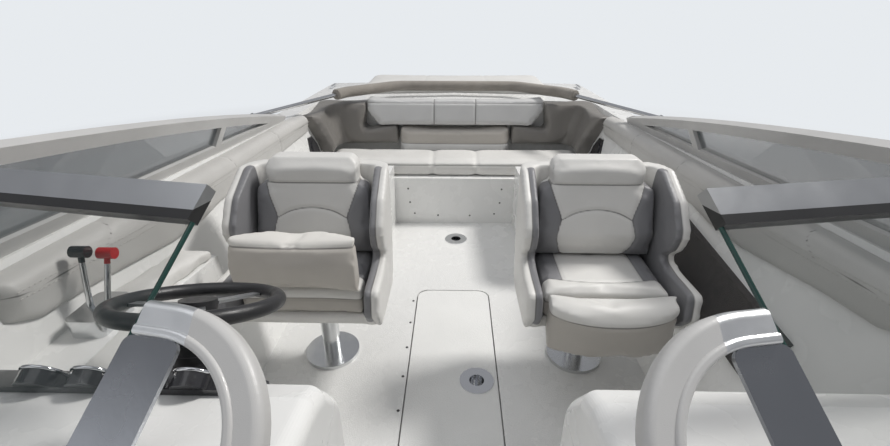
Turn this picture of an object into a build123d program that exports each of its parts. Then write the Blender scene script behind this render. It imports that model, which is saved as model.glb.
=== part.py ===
"""Open speedboat with a bow cockpit, a wrap-round windshield and a stern drive.

Row frame, in millimetres: X points to the bow, Y to port, Z up. The origin lies on the
centreline at the waterline, under the steering wheel. Every sub-part is its own solid.
"""
from build123d import *
import math
import os

os.makedirs("parts", exist_ok=True)

# Hull and deck shell
RAIL_Z0 = 819.0          # height of the rub rail plane at x = 0
RAIL_RISE = 0.0383       # rise of the rub rail plane towards the bow
CHINE_FLAT = 45.0        # width of the flat chine
DECK_CROWN = 22.0        # camber of the deck on the centreline
# x, keel z, chine half breadth, chine z, rail half breadth, deck edge half breadth, deck edge z
STATIONS = [
    (-3500, -430, 1000, -70, 1228, 1112, 866),
    (-2450, -437, 1020, -65, 1252, 1132, 885),
    (-1400, -442, 1028, -52, 1268, 1146, 933),
    (-350, -443, 1018, -25, 1274, 1150, 1000),
    (700, -440, 972, 30, 1262, 1136, 1044),
    (1700, -420, 800, 130, 1180, 1050, 1062),
    (2700, -320, 470, 280, 900, 785, 1070),
    (3400, -60, 175, 480, 470, 390, 1074),
    (3760, 560, 25, 720, 70, 45, 1076),
]
TRANSOM_X = STATIONS[0][0]
RAIL_THICK = 26.0
RAIL_HEIGHT = 56.0
SEAT_GAP = 0.3           # clearance of a curved or soft piece from its seat
LINER_WALL = 22.0        # moulded cockpit liner
SOLE_Z = 150.0
SOLE_THICK = 40.0
# The hull moulding is built in three lengths, with the middle one in bottom and sides, and the
# liner in two, at these stations
HULL_JOINTS = (-2102.0, 723.0)
LINER_JOINT = 723.0

# Cockpit, its well and the bench shelf
COCKPIT_AFT = -2600.0
COCKPIT_FWD = 700.0
COCKPIT_LOW = 800.0      # half width at the sole
COCKPIT_HIGH = 1050.0    # half width at COCKPIT_TOP
COCKPIT_TOP = 1060.0
COCKPIT_CORNER = 90.0
BENCH_FRONT = -2080.0
BENCH_Z = 480.0
WELL_HALF = 400.0        # half width of the well between the side boxes
BOX_FWD = -1400.0
LOCKER_AFT, LOCKER_FWD, LOCKER_HALF = -1262.0, 120.0, 190.0
LOCKER_FLOOR = -190.0
LOCKER_CORNER = 60.0
HATCH_THICK = 30.0
HATCH_GAP = 6.0
LEDGE = 26.0             # rebate that carries a lid
SOCKET_X, SOCKET_Y = -1841.0, 15.0
SOCKET_FWD_X, SOCKET_FWD_Y = -619.0, 100.0
SOCKET_R, SOCKET_DEEP, SOCKET_BORE = 40.0, 70.0, 60.5
SOCKET_FLANGE, SOCKET_FLANGE_R = 4.0, 70.0

# Padding, side boxes and lounge
BOLSTER_THICK, WRAP_THICK, POCKET_THICK, ARMREST_WIDE = 55.0, 95.0, 26.0, 128.0
SPEAKER_AT, SPEAKER_R, SPEAKER_PLATE = (-2145.0, 664.0), 46.0, 8.0
WRAP_Y, WRAP_AFT = 402.0, 140.0     # where a wrap meets the lounge's back, and its depth there
UPPER_HALF, UPPER_Z = 640.0, 727.0  # the upper backrests, which stand on the wraps
UPPER_SLANT = 84.0
BOX_TOP = 568.0
SEAT_FRONT_X, BENCH_CUSHION_TOP = -2100.0, 578.0

# Bow cockpit
BOW_AFT = 745.0
BOW_SIDE_END = 1650.0    # where the straight side turns into the bow curve
BOW_HALF = 800.0
BOW_TURN = (2560.0, 380.0)      # where the side curve meets the round end
BOW_MID = (2170.0, 668.0)
BOW_TIP = 2830.0
BOW_SEAT_Z = 490.0
BOW_WELL_HALF = 270.0
BOW_WELL_FWD = 1950.0

# Consoles either side of the walkway
WALK_HALF = 205.0
CONSOLE_AFT = 170.0
FOOT_DEEP, FOOT_WIDE, FOOT_TALL, FOOT_Z = 260.0, 420.0, 420.0, 560.0    # helm foot well
SIDE_LEDGE_Y = 842.0     # inner face of the ledge that carries throttle and armrest
SIDE_LEDGE = [(CONSOLE_AFT, 500), (-620, 600), (-620, 732.7), (-250, 774.7), (-245, 800),
              (CONSOLE_AFT, 800)]
GLOVE_Y, GLOVE_Z, GLOVE_WIDE, GLOVE_TALL, GLOVE_DEEP = 540.0, 700.0, 420.0, 260.0, 240.0
LID_THICK, LID_GAP = 18.0, 5.5
DASH_Y = (-930.0, -330.0)
DASH_PROUD = 12.0
GAUGES = [(246, -640), (246, -560), (246, -480), (246, -400)]
GAUGE_Z, GAUGE_R = 1020.0, 30.0

# Windshield
HEADER_Z = 1307.0
HEADER_IN = (153.0, 350.0)      # inner end of a front header, x and half breadth
HEADER_SWEEP = 0.1717           # aft sweep of the header per mm outboard
PANE_RAKE = 1.19                # forward run of the pane per mm down
PANE_THICK = 6.0
PANE_FOOT_Z = 1062.0
PANE_OUT = 940.0
PANE_FOOT_IN = 454.0
PANE_FOOT_OUT = 1035.0
WING_TIP = (-1905.0, 1032.0, 905.0)
WING_FOOT = (352.0, 1072.0, 1052.0)
WING_HEAD = (50.0, 962.0, 1307.0)
WING_FRAME = 40.0
WING_DEPTH = 34.0
WING_BULGE = 42.0               # rise of the header's arc over its chord
WING_FOOT_DEEP = 40.0           # how far the foot reaches down before it is cut to the deck
WING_TAIL = 34.0                # height of the blunt tail end
WING_POST = 800.0               # the divider post's place along the foot, from the tail
POST_WIDE, POST_LEAN = 44.0, 120.0
HEADER_DEEP, HEADER_THICK = 36.0, 22.0
CONSOLE_TOP = 1046.0
FOOT_RAIL_Z = CONSOLE_TOP - 14.0    # trimmed flat at the console top
STAY_TOP_Z, STAY_WIDE, STAY_THICK, STAY_ROUND = 1168.0, 78.0, 6.0, 14.0
HOOP_IN, HOOP_ROUND = 226.0, 146.0
HOOP_FACE, HOOP_DEEP, HOOP_LIP = 45.0, 34.0, 13.0
HOOP_TOP = STAY_TOP_Z + 0.5 * HOOP_FACE / math.hypot(1, PANE_RAKE) + 0.3

# Seats
SEAT_X, SEAT_Y = -660.0, 530.0
PEDESTAL_X = -780.0
PEDESTAL_R, PEDESTAL_TUBE = 115.0, 37.0
SEAT_UNDER = 500.0
FLOOR_THICK = 45.0
CUSHION_TOP = 655.0
CUSHION_X = (-835.0, -520.0)
SEAT_HALF = 285.0
SHELL_WALL = 56.0
# Side view of the shell: x, z and the radius of each corner
SHELL_PROFILE = [(-880, SEAT_UNDER, 0), (-520, SEAT_UNDER, 30), (-446, 592, 30), (-462, 688, 30),
                 (-590, 686, 60), (-706, 700, 14), (-648, 752, 40), (-618, 828, 60), (-700, 926, 70),
                 (-838, 996, 40), (-952, 990, 0), (-915, 700, 0)]
CAVITY_PROFILE = [(-400, SEAT_UNDER - 20), (-520, SEAT_UNDER - 20),
                  (-520, SEAT_UNDER + FLOOR_THICK), (-838, SEAT_UNDER + FLOOR_THICK), (-868, 700),
                   (-912, 1100), (-400, 1100)]
BACK_PROFILE = [(-836, CUSHION_TOP + 2), (-756, CUSHION_TOP + 2), (-742, 760), (-806, 940), (-893, 940),
                (-866, 700)]
HEAD_PROFILE = [(-893, 939.5), (-802, 939.5), (-806, 1000), (-836, 1048), (-905, 1048)]
HEAD_HALF, HEAD_ROUND = 181.0, 52.0
SHELL_ROUND, CAVITY_ROUND = 85.0, 40.0
BOLSTER_HALF, BOLSTER_BOW = 214.0, 58.0     # half width, and how far its front edge bows out
BOLSTER_PROFILE = [(-514, 662), (-500, 676), (-412, 652), (-384, 612), (-392, 478), (-470, 478), (-514, 560)]
BOLSTER_HINGE = (-500.0, 668.0)
BOLSTER_SWING = 175.0

# Steering wheel, its boot and the throttle
WHEEL_AT = (-28.0, -547.0, 967.0)
WHEEL_TILT = 24.0
WHEEL_R, WHEEL_TUBE = 162.0, 16.5
HUB_R, HUB_THICK, SPOKE_WIDE, SPOKE_THICK = 38.0, 24.0, 26.0, 6.0
HUB_DROP = 26.0          # from the wheel's plane down to the top of the boot
BOOT_TOP_R, BOOT_FOOT_R, BOOT_LONG = 44.0, 58.0, 130.0
BOOT_RIBS, BOOT_RIB = 6, 3.5
BOOT_FOOT_AT = (-20.0, 810.0)
SHAFT_R = 11.0
THROTTLE_AT = (-165.0, -905.0, 800.0)

# Stern: platform, engine hatch, folded sun top
PLATFORM_Z, PLATFORM_THICK, PLATFORM_LONG, PLATFORM_HALF = 335.0, 70.0, 560.0, 1020.0
SUNPAD_AFT, SUNPAD_FWD, SUNPAD_HALF = -3430.0, -2850.0, 740.0
HATCH_SEAT_Z, HATCH_LID = 815.0, 36.0
SUNPAD_TOP = 958.0
BIMINI_ROOT = (-1720.0, 1108.0, 975.0)
# Corners of the folded bows on the port side, and where the canvas on them ends
BIMINI_CORNERS = [(-2450.0, 760.0), (-2716.0, 440.0)]
BIMINI_BEND = 180.0
ROLL_END = (-2348.0, 809.0)
BIMINI_R = 12.5
MOUNT_LOW, MOUNT_PLATE = 880.0, 6.0
EYE_R, EYE_WIDE, EYE_PIN = 14.0, 18.0, 4.0
ROLL_R = 41.0
BAY_AFT, BAY_HALF, BAY_FLOOR = TRANSOM_X + 60, 520.0, -150.0
ENGINE_X, ENGINE_LONG, ENGINE_WIDE, ENGINE_TALL = -2990.0, 860.0, 620.0, 560.0

# Foredeck
ANCHOR_AFT, ANCHOR_FWD, ANCHOR_HALF = 3010.0, 3350.0, 150.0
ANCHOR_SEAT_Z, ANCHOR_FLOOR = 1050.0, 900.0
BOW_CUSHION, BOW_BACK = 85.0, 70.0
BOW_RAIL = [(1960, 1040, 1040), (2010, 1005, 1150), (2450, 865, 1160), (2900, 640, 1160),
            (2960, 590, 1040)]
# x, half breadth, height of the foot
CLEATS = [(-3200, 1040, 870), (-300, 1110, 985), (3060, 480, 1062)]

# Stern drive, measured from the transom
BRACKET_PLATE, BRACKET_HALF = 46.0, 190.0
RING_BACK, RING_HALF, EAR = 142.0, 110.0, 30.0
EAR_ROUND = 34.0
PIN_R, PIN_GAP = 16.0, 0.08
TILT_BACK = 228.0
YOKE_IN, YOKE = 105.0, 28.0
LEG_HALF, LEG_ROUND = 62.0, 58.0
STRUT_HALF, STRUT_TOP = 36.0, -262.0
TILT_AT = TRANSOM_X - TILT_BACK
LEG_PROFILE = [(TILT_AT + 30, -70), (TILT_AT + 30, 42), (TILT_AT, 60), (TILT_AT - 40, 110), (TILT_AT - 250, 20),
               (TILT_AT - 300, -200), (TILT_AT - 300, -480), (TILT_AT - 300, -640),
               (TILT_AT - 90, -640), (TILT_AT - 60, -420), (TILT_AT - 20, -200)]
PROP_Z = -590.0
GEARCASE = (TILT_AT - 310, TILT_AT + 40)
GEARCASE_R = 58.0
PLATE_X, PLATE_Z, PLATE_LONG, PLATE_WIDE, PLATE_THICK = TILT_AT - 200, -378.0, 440.0, 240.0, 12.0
SKEG = [(TILT_AT - 290, -600), (TILT_AT - 60, -600), (TILT_AT - 130, -760), (TILT_AT - 240, -770)]
SKEG_HALF = 9.0
PROP_SHAFT, PROP_SHAFT_R = 150.0, 14.0
HUB_PROP_R, HUB_PROP_LONG, PROP_BLADES, PROP_PITCH = 52.0, 120.0, 3, 28.0
PROP_R, PROP_CHORD, BLADE_THICK = 185.0, 150.0, 7.0


def write(builder, node):
    """Labels a finished sub-part and writes its STEP file."""
    builder.part.label = node
    export_step(builder.part, f"parts/{node}.step")
    return builder.part


def both_sides(make, node):
    """Writes a port piece and its mirror image as one node."""
    port = make()
    with BuildPart() as starboard:
        add(port.part.mirror(Plane.XZ))
    with BuildPart() as pair:
        add(port.part)
        add(starboard.part)
    write(pair, node)


def rail_z(x):
    return RAIL_Z0 + RAIL_RISE * x


def rounded_box(x0, x1, y0, y1, z0, z1, radius, edges="all"):
    """A box between two corners with its edges rounded: all of them, or the upright ones."""
    with BuildPart() as block:
        with Locations(((x0 + x1) / 2, (y0 + y1) / 2, (z0 + z1) / 2)):
            Box(x1 - x0, y1 - y0, z1 - z0)
        chosen = block.edges() if edges == "all" else block.edges().filter_by(Axis.Z)
        fillet(chosen, radius)
    return block.part


# Shell: one smooth body, split along the rub rail into hull and deck
def make_envelope():
    with BuildPart() as envelope:
        for x, keel, chine_y, chine_z, rail_y, deck_y, deck_z in STATIONS:
            half = [
                (chine_y, chine_z),
                (chine_y + CHINE_FLAT, chine_z),
                (rail_y, rail_z(x)),
                (deck_y, deck_z),
            ]
            outline = [(0, keel), *half, (0, deck_z + DECK_CROWN)]
            outline += [(-y, z) for y, z in reversed(half)]
            with BuildSketch(Plane.YZ.offset(x)):
                with BuildLine():
                    Polyline(*outline, close=True)
                make_face()
        loft()
    return envelope.part


def cockpit_plan(half_low, half_high, z_low, z_high, x_aft, x_fwd):
    """The flared well of the cockpit: rounded rectangles at two heights."""
    with BuildPart() as well:
        for z, half in ((z_low, half_low), (z_high, half_high)):
            with BuildSketch(Plane.XY.offset(z)):
                with Locations(((x_aft + x_fwd) / 2, 0)):
                    RectangleRounded(x_fwd - x_aft, 2 * half, COCKPIT_CORNER)
        loft(ruled=True)
    return well.part


def flare(z):
    """Half width of the cockpit's inner wall at a height."""
    share = (z - SOLE_Z) / (COCKPIT_TOP - SOLE_Z)
    return COCKPIT_LOW + (COCKPIT_HIGH - COCKPIT_LOW) * share


def bow_plan(grow, z_low, z_high):
    """The bow cockpit above its seats: straight sides closed by a round bow."""
    with BuildPart() as hollow:
        with BuildSketch(Plane.XY.offset(z_low)):
            with BuildLine():
                half = BOW_HALF + grow
                aft = BOW_AFT - grow
                Line((aft, -half), (aft, half))
                Line((aft, half), (BOW_SIDE_END, half))
                turn = (BOW_TURN[0] + 0.7 * grow, BOW_TURN[1] + 0.7 * grow)
                mid = (BOW_MID[0] + 0.5 * grow, BOW_MID[1] + 0.86 * grow)
                ThreePointArc((BOW_SIDE_END, half), mid, turn)
                ThreePointArc(turn, (BOW_TIP + grow, 0), (turn[0], -turn[1]))
                ThreePointArc((turn[0], -turn[1]), (mid[0], -mid[1]), (BOW_SIDE_END, -half))
                Line((BOW_SIDE_END, -half), (aft, -half))
            make_face()
        extrude(amount=z_high - z_low)
    return hollow.part


def hollows(grow):
    """The space inside the liner (grow = 0), or inside hull and deck (grow = the wall)."""
    top = COCKPIT_TOP + 60
    floor_drop = SOLE_THICK if grow else 0
    shelf = BENCH_Z - (SOLE_THICK if grow else 0)
    bow_shelf = BOW_SEAT_Z - (SOLE_THICK if grow else 0)
    low, high = SOLE_Z - floor_drop, top
    # hull and deck have no wall of their own between the two cockpits, so both spaces meet there
    forward = BOW_AFT - grow + 1 if grow else COCKPIT_FWD
    with BuildPart() as space:
        add(cockpit_plan(flare(low) + grow, flare(high) + grow, low, high,
                         COCKPIT_AFT - grow, forward))
        aft, front = COCKPIT_AFT - 200, BENCH_FRONT - grow
        with Locations(((aft + front) / 2, 0, shelf - 500)):
            Box(front - aft, 2400, 1000, mode=Mode.SUBTRACT)
        add(bow_plan(grow, bow_shelf, high))
        with BuildSketch(Plane.XY.offset(low)):
            with Locations(((COCKPIT_FWD + BOW_WELL_FWD) / 2, 0)):
                Rectangle(BOW_WELL_FWD - COCKPIT_FWD + 2 * grow, 2 * (BOW_WELL_HALF + grow))
        extrude(amount=BOW_SEAT_Z + 20 - low)
        with BuildSketch(Plane.XY.offset(low)):
            with Locations(((COCKPIT_FWD + BOW_AFT) / 2, 0)):
                Rectangle(200, 2 * (WALK_HALF + grow))
        extrude(amount=high - low)
    return space.part


envelope = make_envelope()
outer_hollow = hollows(LINER_WALL)
inner_hollow = hollows(0)
rail_plane = Plane(origin=(0, 0, RAIL_Z0), z_dir=(-RAIL_RISE, 0, 1))


def locker_space(grow, z_low, z_high):
    with BuildPart() as space:
        with BuildSketch(Plane.XY.offset(z_low)):
            with Locations(((LOCKER_AFT + LOCKER_FWD) / 2, 0)):
                RectangleRounded(LOCKER_FWD - LOCKER_AFT + 2 * grow,
                                 2 * (LOCKER_HALF + grow), LOCKER_CORNER)
        extrude(amount=z_high - z_low)
    return space.part


# Hull: deep vee bottom, engine bay under the stern deck, ski locker under the sole
with BuildPart() as hull:
    add(envelope)
    split(bisect_by=rail_plane, keep=Keep.BOTTOM)
    add(outer_hollow, mode=Mode.SUBTRACT)
    add(locker_space(-LEDGE, LOCKER_FLOOR, SOLE_Z), mode=Mode.SUBTRACT)
    for x0, x1, z1 in ((BAY_AFT, BENCH_FRONT - LINER_WALL, BENCH_Z - SOLE_THICK),
                       (BAY_AFT, COCKPIT_AFT - LINER_WALL, RAIL_Z0)):
        with Locations(((x0 + x1) / 2, 0, (BAY_FLOOR + z1) / 2)):
            Box(x1 - x0, 2 * BAY_HALF, z1 - BAY_FLOOR, mode=Mode.SUBTRACT)
    with Locations((SOCKET_X, SOCKET_Y, SOLE_Z - SOCKET_DEEP / 2)):
        Cylinder(SOCKET_R + SEAT_GAP, SOCKET_DEEP + 2 * SEAT_GAP, mode=Mode.SUBTRACT)
    with Locations(((ANCHOR_AFT + ANCHOR_FWD) / 2, 0, (ANCHOR_FLOOR + 1300) / 2)):
        Box(ANCHOR_FWD - ANCHOR_AFT - 2 * LEDGE, 2 * (ANCHOR_HALF - LEDGE), 1300 - ANCHOR_FLOOR,
            mode=Mode.SUBTRACT)
hull_floor = SOLE_Z - SOLE_THICK
# place: aft end, forward end, lower and upper limit of each length of the hull moulding
for place, x_low, x_high, z_low, z_high in (
        ("stern", TRANSOM_X - 10, HULL_JOINTS[0], -1000, 1500),
        ("bottom", HULL_JOINTS[0], HULL_JOINTS[1], -1000, hull_floor),
        ("sides", HULL_JOINTS[0], HULL_JOINTS[1], hull_floor, 1500),
        ("bow", HULL_JOINTS[1], 4200, -1000, 1500)):
    with BuildPart() as section:
        add(hull.part)
        with Locations(((x_low + x_high) / 2, 0, (z_low + z_high) / 2)):
            Box(x_high - x_low, 3000, z_high - z_low, mode=Mode.INTERSECT)
    write(section, f"hull_{place}")

# Deck: gunwales, foredeck and stern deck in one moulding
with BuildPart() as deck:
    add(envelope)
    split(bisect_by=rail_plane, keep=Keep.TOP)
    add(outer_hollow, mode=Mode.SUBTRACT)
    for inset, z0 in ((0, HATCH_SEAT_Z), (LEDGE, RAIL_Z0 - 300)):
        with Locations(((SUNPAD_AFT + SUNPAD_FWD) / 2, 0, (z0 + 1100) / 2)):
            Box(SUNPAD_FWD - SUNPAD_AFT - 2 * inset, 2 * (SUNPAD_HALF - inset), 1100 - z0,
                mode=Mode.SUBTRACT)
    for inset, z0 in ((0, ANCHOR_SEAT_Z), (LEDGE, ANCHOR_FLOOR)):
        with Locations(((ANCHOR_AFT + ANCHOR_FWD) / 2, 0, (z0 + 1300) / 2)):
            Box(ANCHOR_FWD - ANCHOR_AFT - 2 * inset, 2 * (ANCHOR_HALF - inset), 1300 - z0,
                mode=Mode.SUBTRACT)
write(deck, "deck")

# Liner: the moulded tub of both cockpits, with bench shelf and bow seats
with BuildPart() as liner:
    add(outer_hollow)
    add(inner_hollow, mode=Mode.SUBTRACT)
    add(envelope, mode=Mode.INTERSECT)
    add(locker_space(0, SOLE_Z - HATCH_THICK - SEAT_GAP, SOLE_Z + 1), mode=Mode.SUBTRACT)
    add(locker_space(-LEDGE, LOCKER_FLOOR, SOLE_Z), mode=Mode.SUBTRACT)
    with Locations((SOCKET_X, SOCKET_Y, SOLE_Z - SOCKET_DEEP / 2)):
        Cylinder(SOCKET_R + SEAT_GAP, SOCKET_DEEP + 20, mode=Mode.SUBTRACT)
for node, x_low, x_high in (("cockpit_liner", TRANSOM_X, LINER_JOINT), ("bow_liner", LINER_JOINT, 4200)):
    with BuildPart() as section:
        add(liner.part)
        with Locations(((x_low + x_high) / 2, 0, 0)):
            Box(x_high - x_low, 3000, 3000, mode=Mode.INTERSECT)
    write(section, node)

# Rub rail: one moulding round both sides and the stem
with BuildPart() as rub_rail:
    rows = [(row[0], row[4]) for row in STATIONS]
    rows[-1] = (rows[-1][0] + RAIL_THICK, rows[-1][1])
    for x, half in rows:
        with BuildSketch(Plane.YZ.offset(x)):
            with Locations((0, rail_z(x))):
                Rectangle(2 * (half + RAIL_THICK), RAIL_HEIGHT)
    loft()
    add(envelope, mode=Mode.SUBTRACT)
write(rub_rail, "rub_rail")

# Swim platform with rounded corners behind the transom
with BuildPart() as platform:
    with BuildSketch(Plane.XY.offset(PLATFORM_Z - PLATFORM_THICK)):
        with Locations((TRANSOM_X - PLATFORM_LONG / 2, 0)):
            Rectangle(PLATFORM_LONG, 2 * PLATFORM_HALF)
    extrude(amount=PLATFORM_THICK)
    fillet(platform.edges().filter_by(Axis.Z).group_by(Axis.X)[0], 160)
    fillet(platform.faces().sort_by(Axis.Z)[-1].edges().filter_by(
        lambda e: e.center().X < TRANSOM_X - 1), 18)
write(platform, "swim_platform")

# Consoles under the windshield; the port one has a lid to its glovebox
CONSOLE_SIDE = [(CONSOLE_AFT, SOLE_Z), (CONSOLE_AFT, 925), (215, 988), (261, 1010), (459, CONSOLE_TOP),
                (COCKPIT_FWD, CONSOLE_TOP), (COCKPIT_FWD, SOLE_Z)]


def make_console(side):
    with BuildPart() as console:
        with BuildSketch(Plane.XZ):
            with BuildLine():
                Polyline(*CONSOLE_SIDE, close=True)
            make_face()
        extrude(amount=1200, both=True)
        add(inner_hollow, mode=Mode.INTERSECT)
        low, high = (WALK_HALF, 1200) if side > 0 else (-1200, -WALK_HALF)
        with Locations(((CONSOLE_AFT + COCKPIT_FWD) / 2, (low + high) / 2, 600)):
            Box(2000, high - low, 2000, mode=Mode.INTERSECT)
        inner = console.faces().filter_by(Axis.Y).sort_by(Axis.Y)[0 if side > 0 else -1]
        fillet(inner.edges().filter_by(lambda e: e.center().Z > 900 and e.center().X < 640), 30)
    return console


with BuildPart() as gauges:
    for x, y in GAUGES:
        with Locations(Location((x, y, GAUGE_Z), (0, -62, 0))):
            Cylinder(GAUGE_R, 24)
write(gauges, "gauges")

helm = make_console(-1)
with BuildPart() as helm_console:
    with BuildSketch(Plane.XZ.offset(SIDE_LEDGE_Y)):
        with BuildLine():
            Polyline(*SIDE_LEDGE, close=True)
        make_face()
    extrude(amount=400)
    add(inner_hollow, mode=Mode.INTERSECT)
    add(helm.part)
    with Locations((CONSOLE_AFT, WHEEL_AT[1], FOOT_Z)):
        Box(2 * FOOT_DEEP, FOOT_WIDE, FOOT_TALL, mode=Mode.SUBTRACT)
    add(gauges.part, mode=Mode.SUBTRACT)
write(helm_console, "helm_console")

port = make_console(1)
with BuildPart() as port_console:
    add(port.part)
    with Locations((CONSOLE_AFT, GLOVE_Y, GLOVE_Z)):
        Box(2 * GLOVE_DEEP, GLOVE_WIDE, GLOVE_TALL, mode=Mode.SUBTRACT)
write(port_console, "port_console")

with BuildPart() as glovebox_lid:
    with Locations((CONSOLE_AFT + LID_THICK / 2 + 2, GLOVE_Y, GLOVE_Z)):
        Box(LID_THICK, GLOVE_WIDE - 2 * LID_GAP, GLOVE_TALL - 2 * LID_GAP)
    fillet(glovebox_lid.edges().filter_by(Axis.X), 14)
    with Locations((CONSOLE_AFT + 2, GLOVE_Y, GLOVE_Z - GLOVE_TALL / 2 + LID_GAP + 1.5)):
        Cylinder(6, GLOVE_WIDE - 2 * SEAT_GAP, rotation=(90, 0, 0))
write(glovebox_lid, "glovebox_lid")

# Dash: the dark brow over the wheel with four gauges
with BuildPart() as dash:
    with BuildSketch(Plane.XZ.offset(-DASH_Y[1])):
        with BuildLine():
            Polyline((CONSOLE_AFT - DASH_PROUD, 880), (CONSOLE_AFT - DASH_PROUD, 935), (205, 1000),
                     (261, 1022), (261, 1010.5), (214.7, 988.5), (CONSOLE_AFT - SEAT_GAP, 925.5),
                     (CONSOLE_AFT - SEAT_GAP, 880), close=True)
        make_face()
    extrude(amount=DASH_Y[1] - DASH_Y[0])
    add(gauges.part, mode=Mode.SUBTRACT)
write(dash, "dash_panel")

# Steering: boot and column on the helm, wheel with three spokes
tilt = math.radians(WHEEL_TILT)
wheel_axis = Vector(-math.sin(tilt), 0, math.cos(tilt))
wheel_at = Vector(*WHEEL_AT)
wheel_plane = Plane(origin=wheel_at, z_dir=wheel_axis)


def down_axis(distance):
    return wheel_at - wheel_axis * distance


with BuildPart() as column:
    with BuildSketch(Plane(origin=down_axis(HUB_DROP), z_dir=wheel_axis)):
        Circle(BOOT_TOP_R)
    with BuildSketch(Plane(origin=down_axis(HUB_DROP + BOOT_LONG), z_dir=wheel_axis)):
        Circle(BOOT_FOOT_R)
    loft()
    for rib in range(BOOT_RIBS):
        share = (rib + 0.5) / BOOT_RIBS
        with BuildSketch(Plane(origin=down_axis(HUB_DROP + BOOT_LONG * share), z_dir=wheel_axis)):
            Circle(BOOT_TOP_R + (BOOT_FOOT_R - BOOT_TOP_R) * share + BOOT_RIB)
        extrude(amount=-BOOT_LONG / BOOT_RIBS * 0.45)
    with BuildSketch(Plane(origin=down_axis(HUB_DROP), z_dir=wheel_axis)):
        Circle(SHAFT_R)
    extrude(amount=HUB_DROP)
    with Locations(((BOOT_FOOT_AT[0] + CONSOLE_AFT) / 2, WHEEL_AT[1], BOOT_FOOT_AT[1])):
        Box(CONSOLE_AFT - BOOT_FOOT_AT[0], 170, 60)
    add(helm_console.part, mode=Mode.SUBTRACT)
write(column, "steering_column")

with BuildPart() as wheel:
    with BuildSketch(Plane(origin=wheel_at + wheel_plane.x_dir * WHEEL_R,
                           x_dir=wheel_plane.x_dir, z_dir=wheel_plane.y_dir)):
        Circle(WHEEL_TUBE)
    revolve(axis=Axis(wheel_at, wheel_axis))
    with BuildSketch(wheel_plane.offset(-SPOKE_THICK - 1)):
        Circle(HUB_R)
        for angle in (30, 150, 270):
            with Locations(Location((0, 0), angle)):
                with Locations((WHEEL_R / 2, 0)):
                    Rectangle(WHEEL_R, SPOKE_WIDE)
    extrude(amount=SPOKE_THICK)
    with BuildSketch(wheel_plane.offset(-HUB_THICK)):
        Circle(HUB_R)
    extrude(amount=HUB_THICK + 8)
    with BuildSketch(wheel_plane.offset(-HUB_THICK - 1)):
        Circle(SHAFT_R + 0.05)
    extrude(amount=HUB_THICK + 1.5, mode=Mode.SUBTRACT)
write(wheel, "steering_wheel")

# Throttle: two levers on a binnacle on the starboard side box
with BuildPart() as throttle:
    with Locations((THROTTLE_AT[0], THROTTLE_AT[1], THROTTLE_AT[2] + 25)):
        Box(130, 90, 50)
    fillet(throttle.edges().filter_by(Axis.Z), 20)
    for dy, tip in ((-22, (-34, 0, 150)), (22, (-60, 0, 132))):
        foot = Vector(THROTTLE_AT[0], THROTTLE_AT[1] + dy, THROTTLE_AT[2] + 40)
        lever = Vector(*tip)
        with BuildSketch(Plane(origin=foot, z_dir=lever)):
            Circle(7)
        extrude(amount=lever.length)
        grip = foot + lever
        with Locations(Location(grip, (90, 0, 0))):
            Cylinder(15, 40)
write(throttle, "throttle")


# Windshield: raked front panes, curved side wings, walkway hoops
def pane_x(y, z):
    return HEADER_IN[0] - HEADER_SWEEP * (abs(y) - HEADER_IN[1]) + PANE_RAKE * (HEADER_Z - z)


def pane_point(y, z):
    return Vector(pane_x(y, z), y, z)


pane_plane = Plane(origin=pane_point(HEADER_IN[1], HEADER_Z),
                   x_dir=pane_point(PANE_OUT, HEADER_Z) - pane_point(HEADER_IN[1], HEADER_Z),
                   z_dir=(pane_point(PANE_OUT, HEADER_Z) - pane_point(HEADER_IN[1], HEADER_Z)).cross(
                       pane_point(HEADER_IN[1], PANE_FOOT_Z) - pane_point(HEADER_IN[1], HEADER_Z)))


def in_pane(*points):
    """Points given as (y, z), as coordinates in the plane of the port pane."""
    local = [pane_plane.to_local_coords(pane_point(y, z)) for y, z in points]
    return [(p.X, p.Y) for p in local]


def edge_y(z):
    """Half breadth of the pane's free edge at a height."""
    share = (HEADER_Z - z) / (HEADER_Z - PANE_FOOT_Z)
    return HEADER_IN[1] + (PANE_FOOT_IN - HEADER_IN[1]) * share


def out_y(z):
    share = (HEADER_Z - z) / (HEADER_Z - PANE_FOOT_Z)
    return PANE_OUT + (PANE_FOOT_OUT - PANE_OUT) * share


def pane_slab(thick, z_low, z_high, y_in=None, y_out=None):
    with BuildPart() as slab:
        with BuildSketch(pane_plane):
            with BuildLine():
                Polyline(*in_pane((y_in or edge_y(z_high), z_high), (y_out or out_y(z_high), z_high),
                                  (y_out or out_y(z_low), z_low), (y_in or edge_y(z_low), z_low)),
                         close=True)
            make_face()
        extrude(amount=thick / 2, both=True)
    return slab


both_sides(lambda: pane_slab(PANE_THICK, PANE_FOOT_Z, HEADER_Z - HEADER_DEEP), "windshield_panes")
both_sides(lambda: pane_slab(HEADER_THICK, HEADER_Z - HEADER_DEEP, HEADER_Z), "header_rails")


def make_foot():
    """The bottom rail that seats a pane on the console and deck."""
    with BuildPart() as foot:
        add(pane_slab(HEADER_THICK, FOOT_RAIL_Z, PANE_FOOT_Z).part)
    return foot


def on_console(make):
    """Trims a piece flat where it stands on the console."""
    with BuildPart() as piece:
        add(make().part)
        with Locations((400, 800, CONSOLE_TOP + 500)):
            Box(2000, 1600, 1000, mode=Mode.INTERSECT)
    return piece


both_sides(lambda: on_console(make_foot), "pane_foot_rails")


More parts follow.
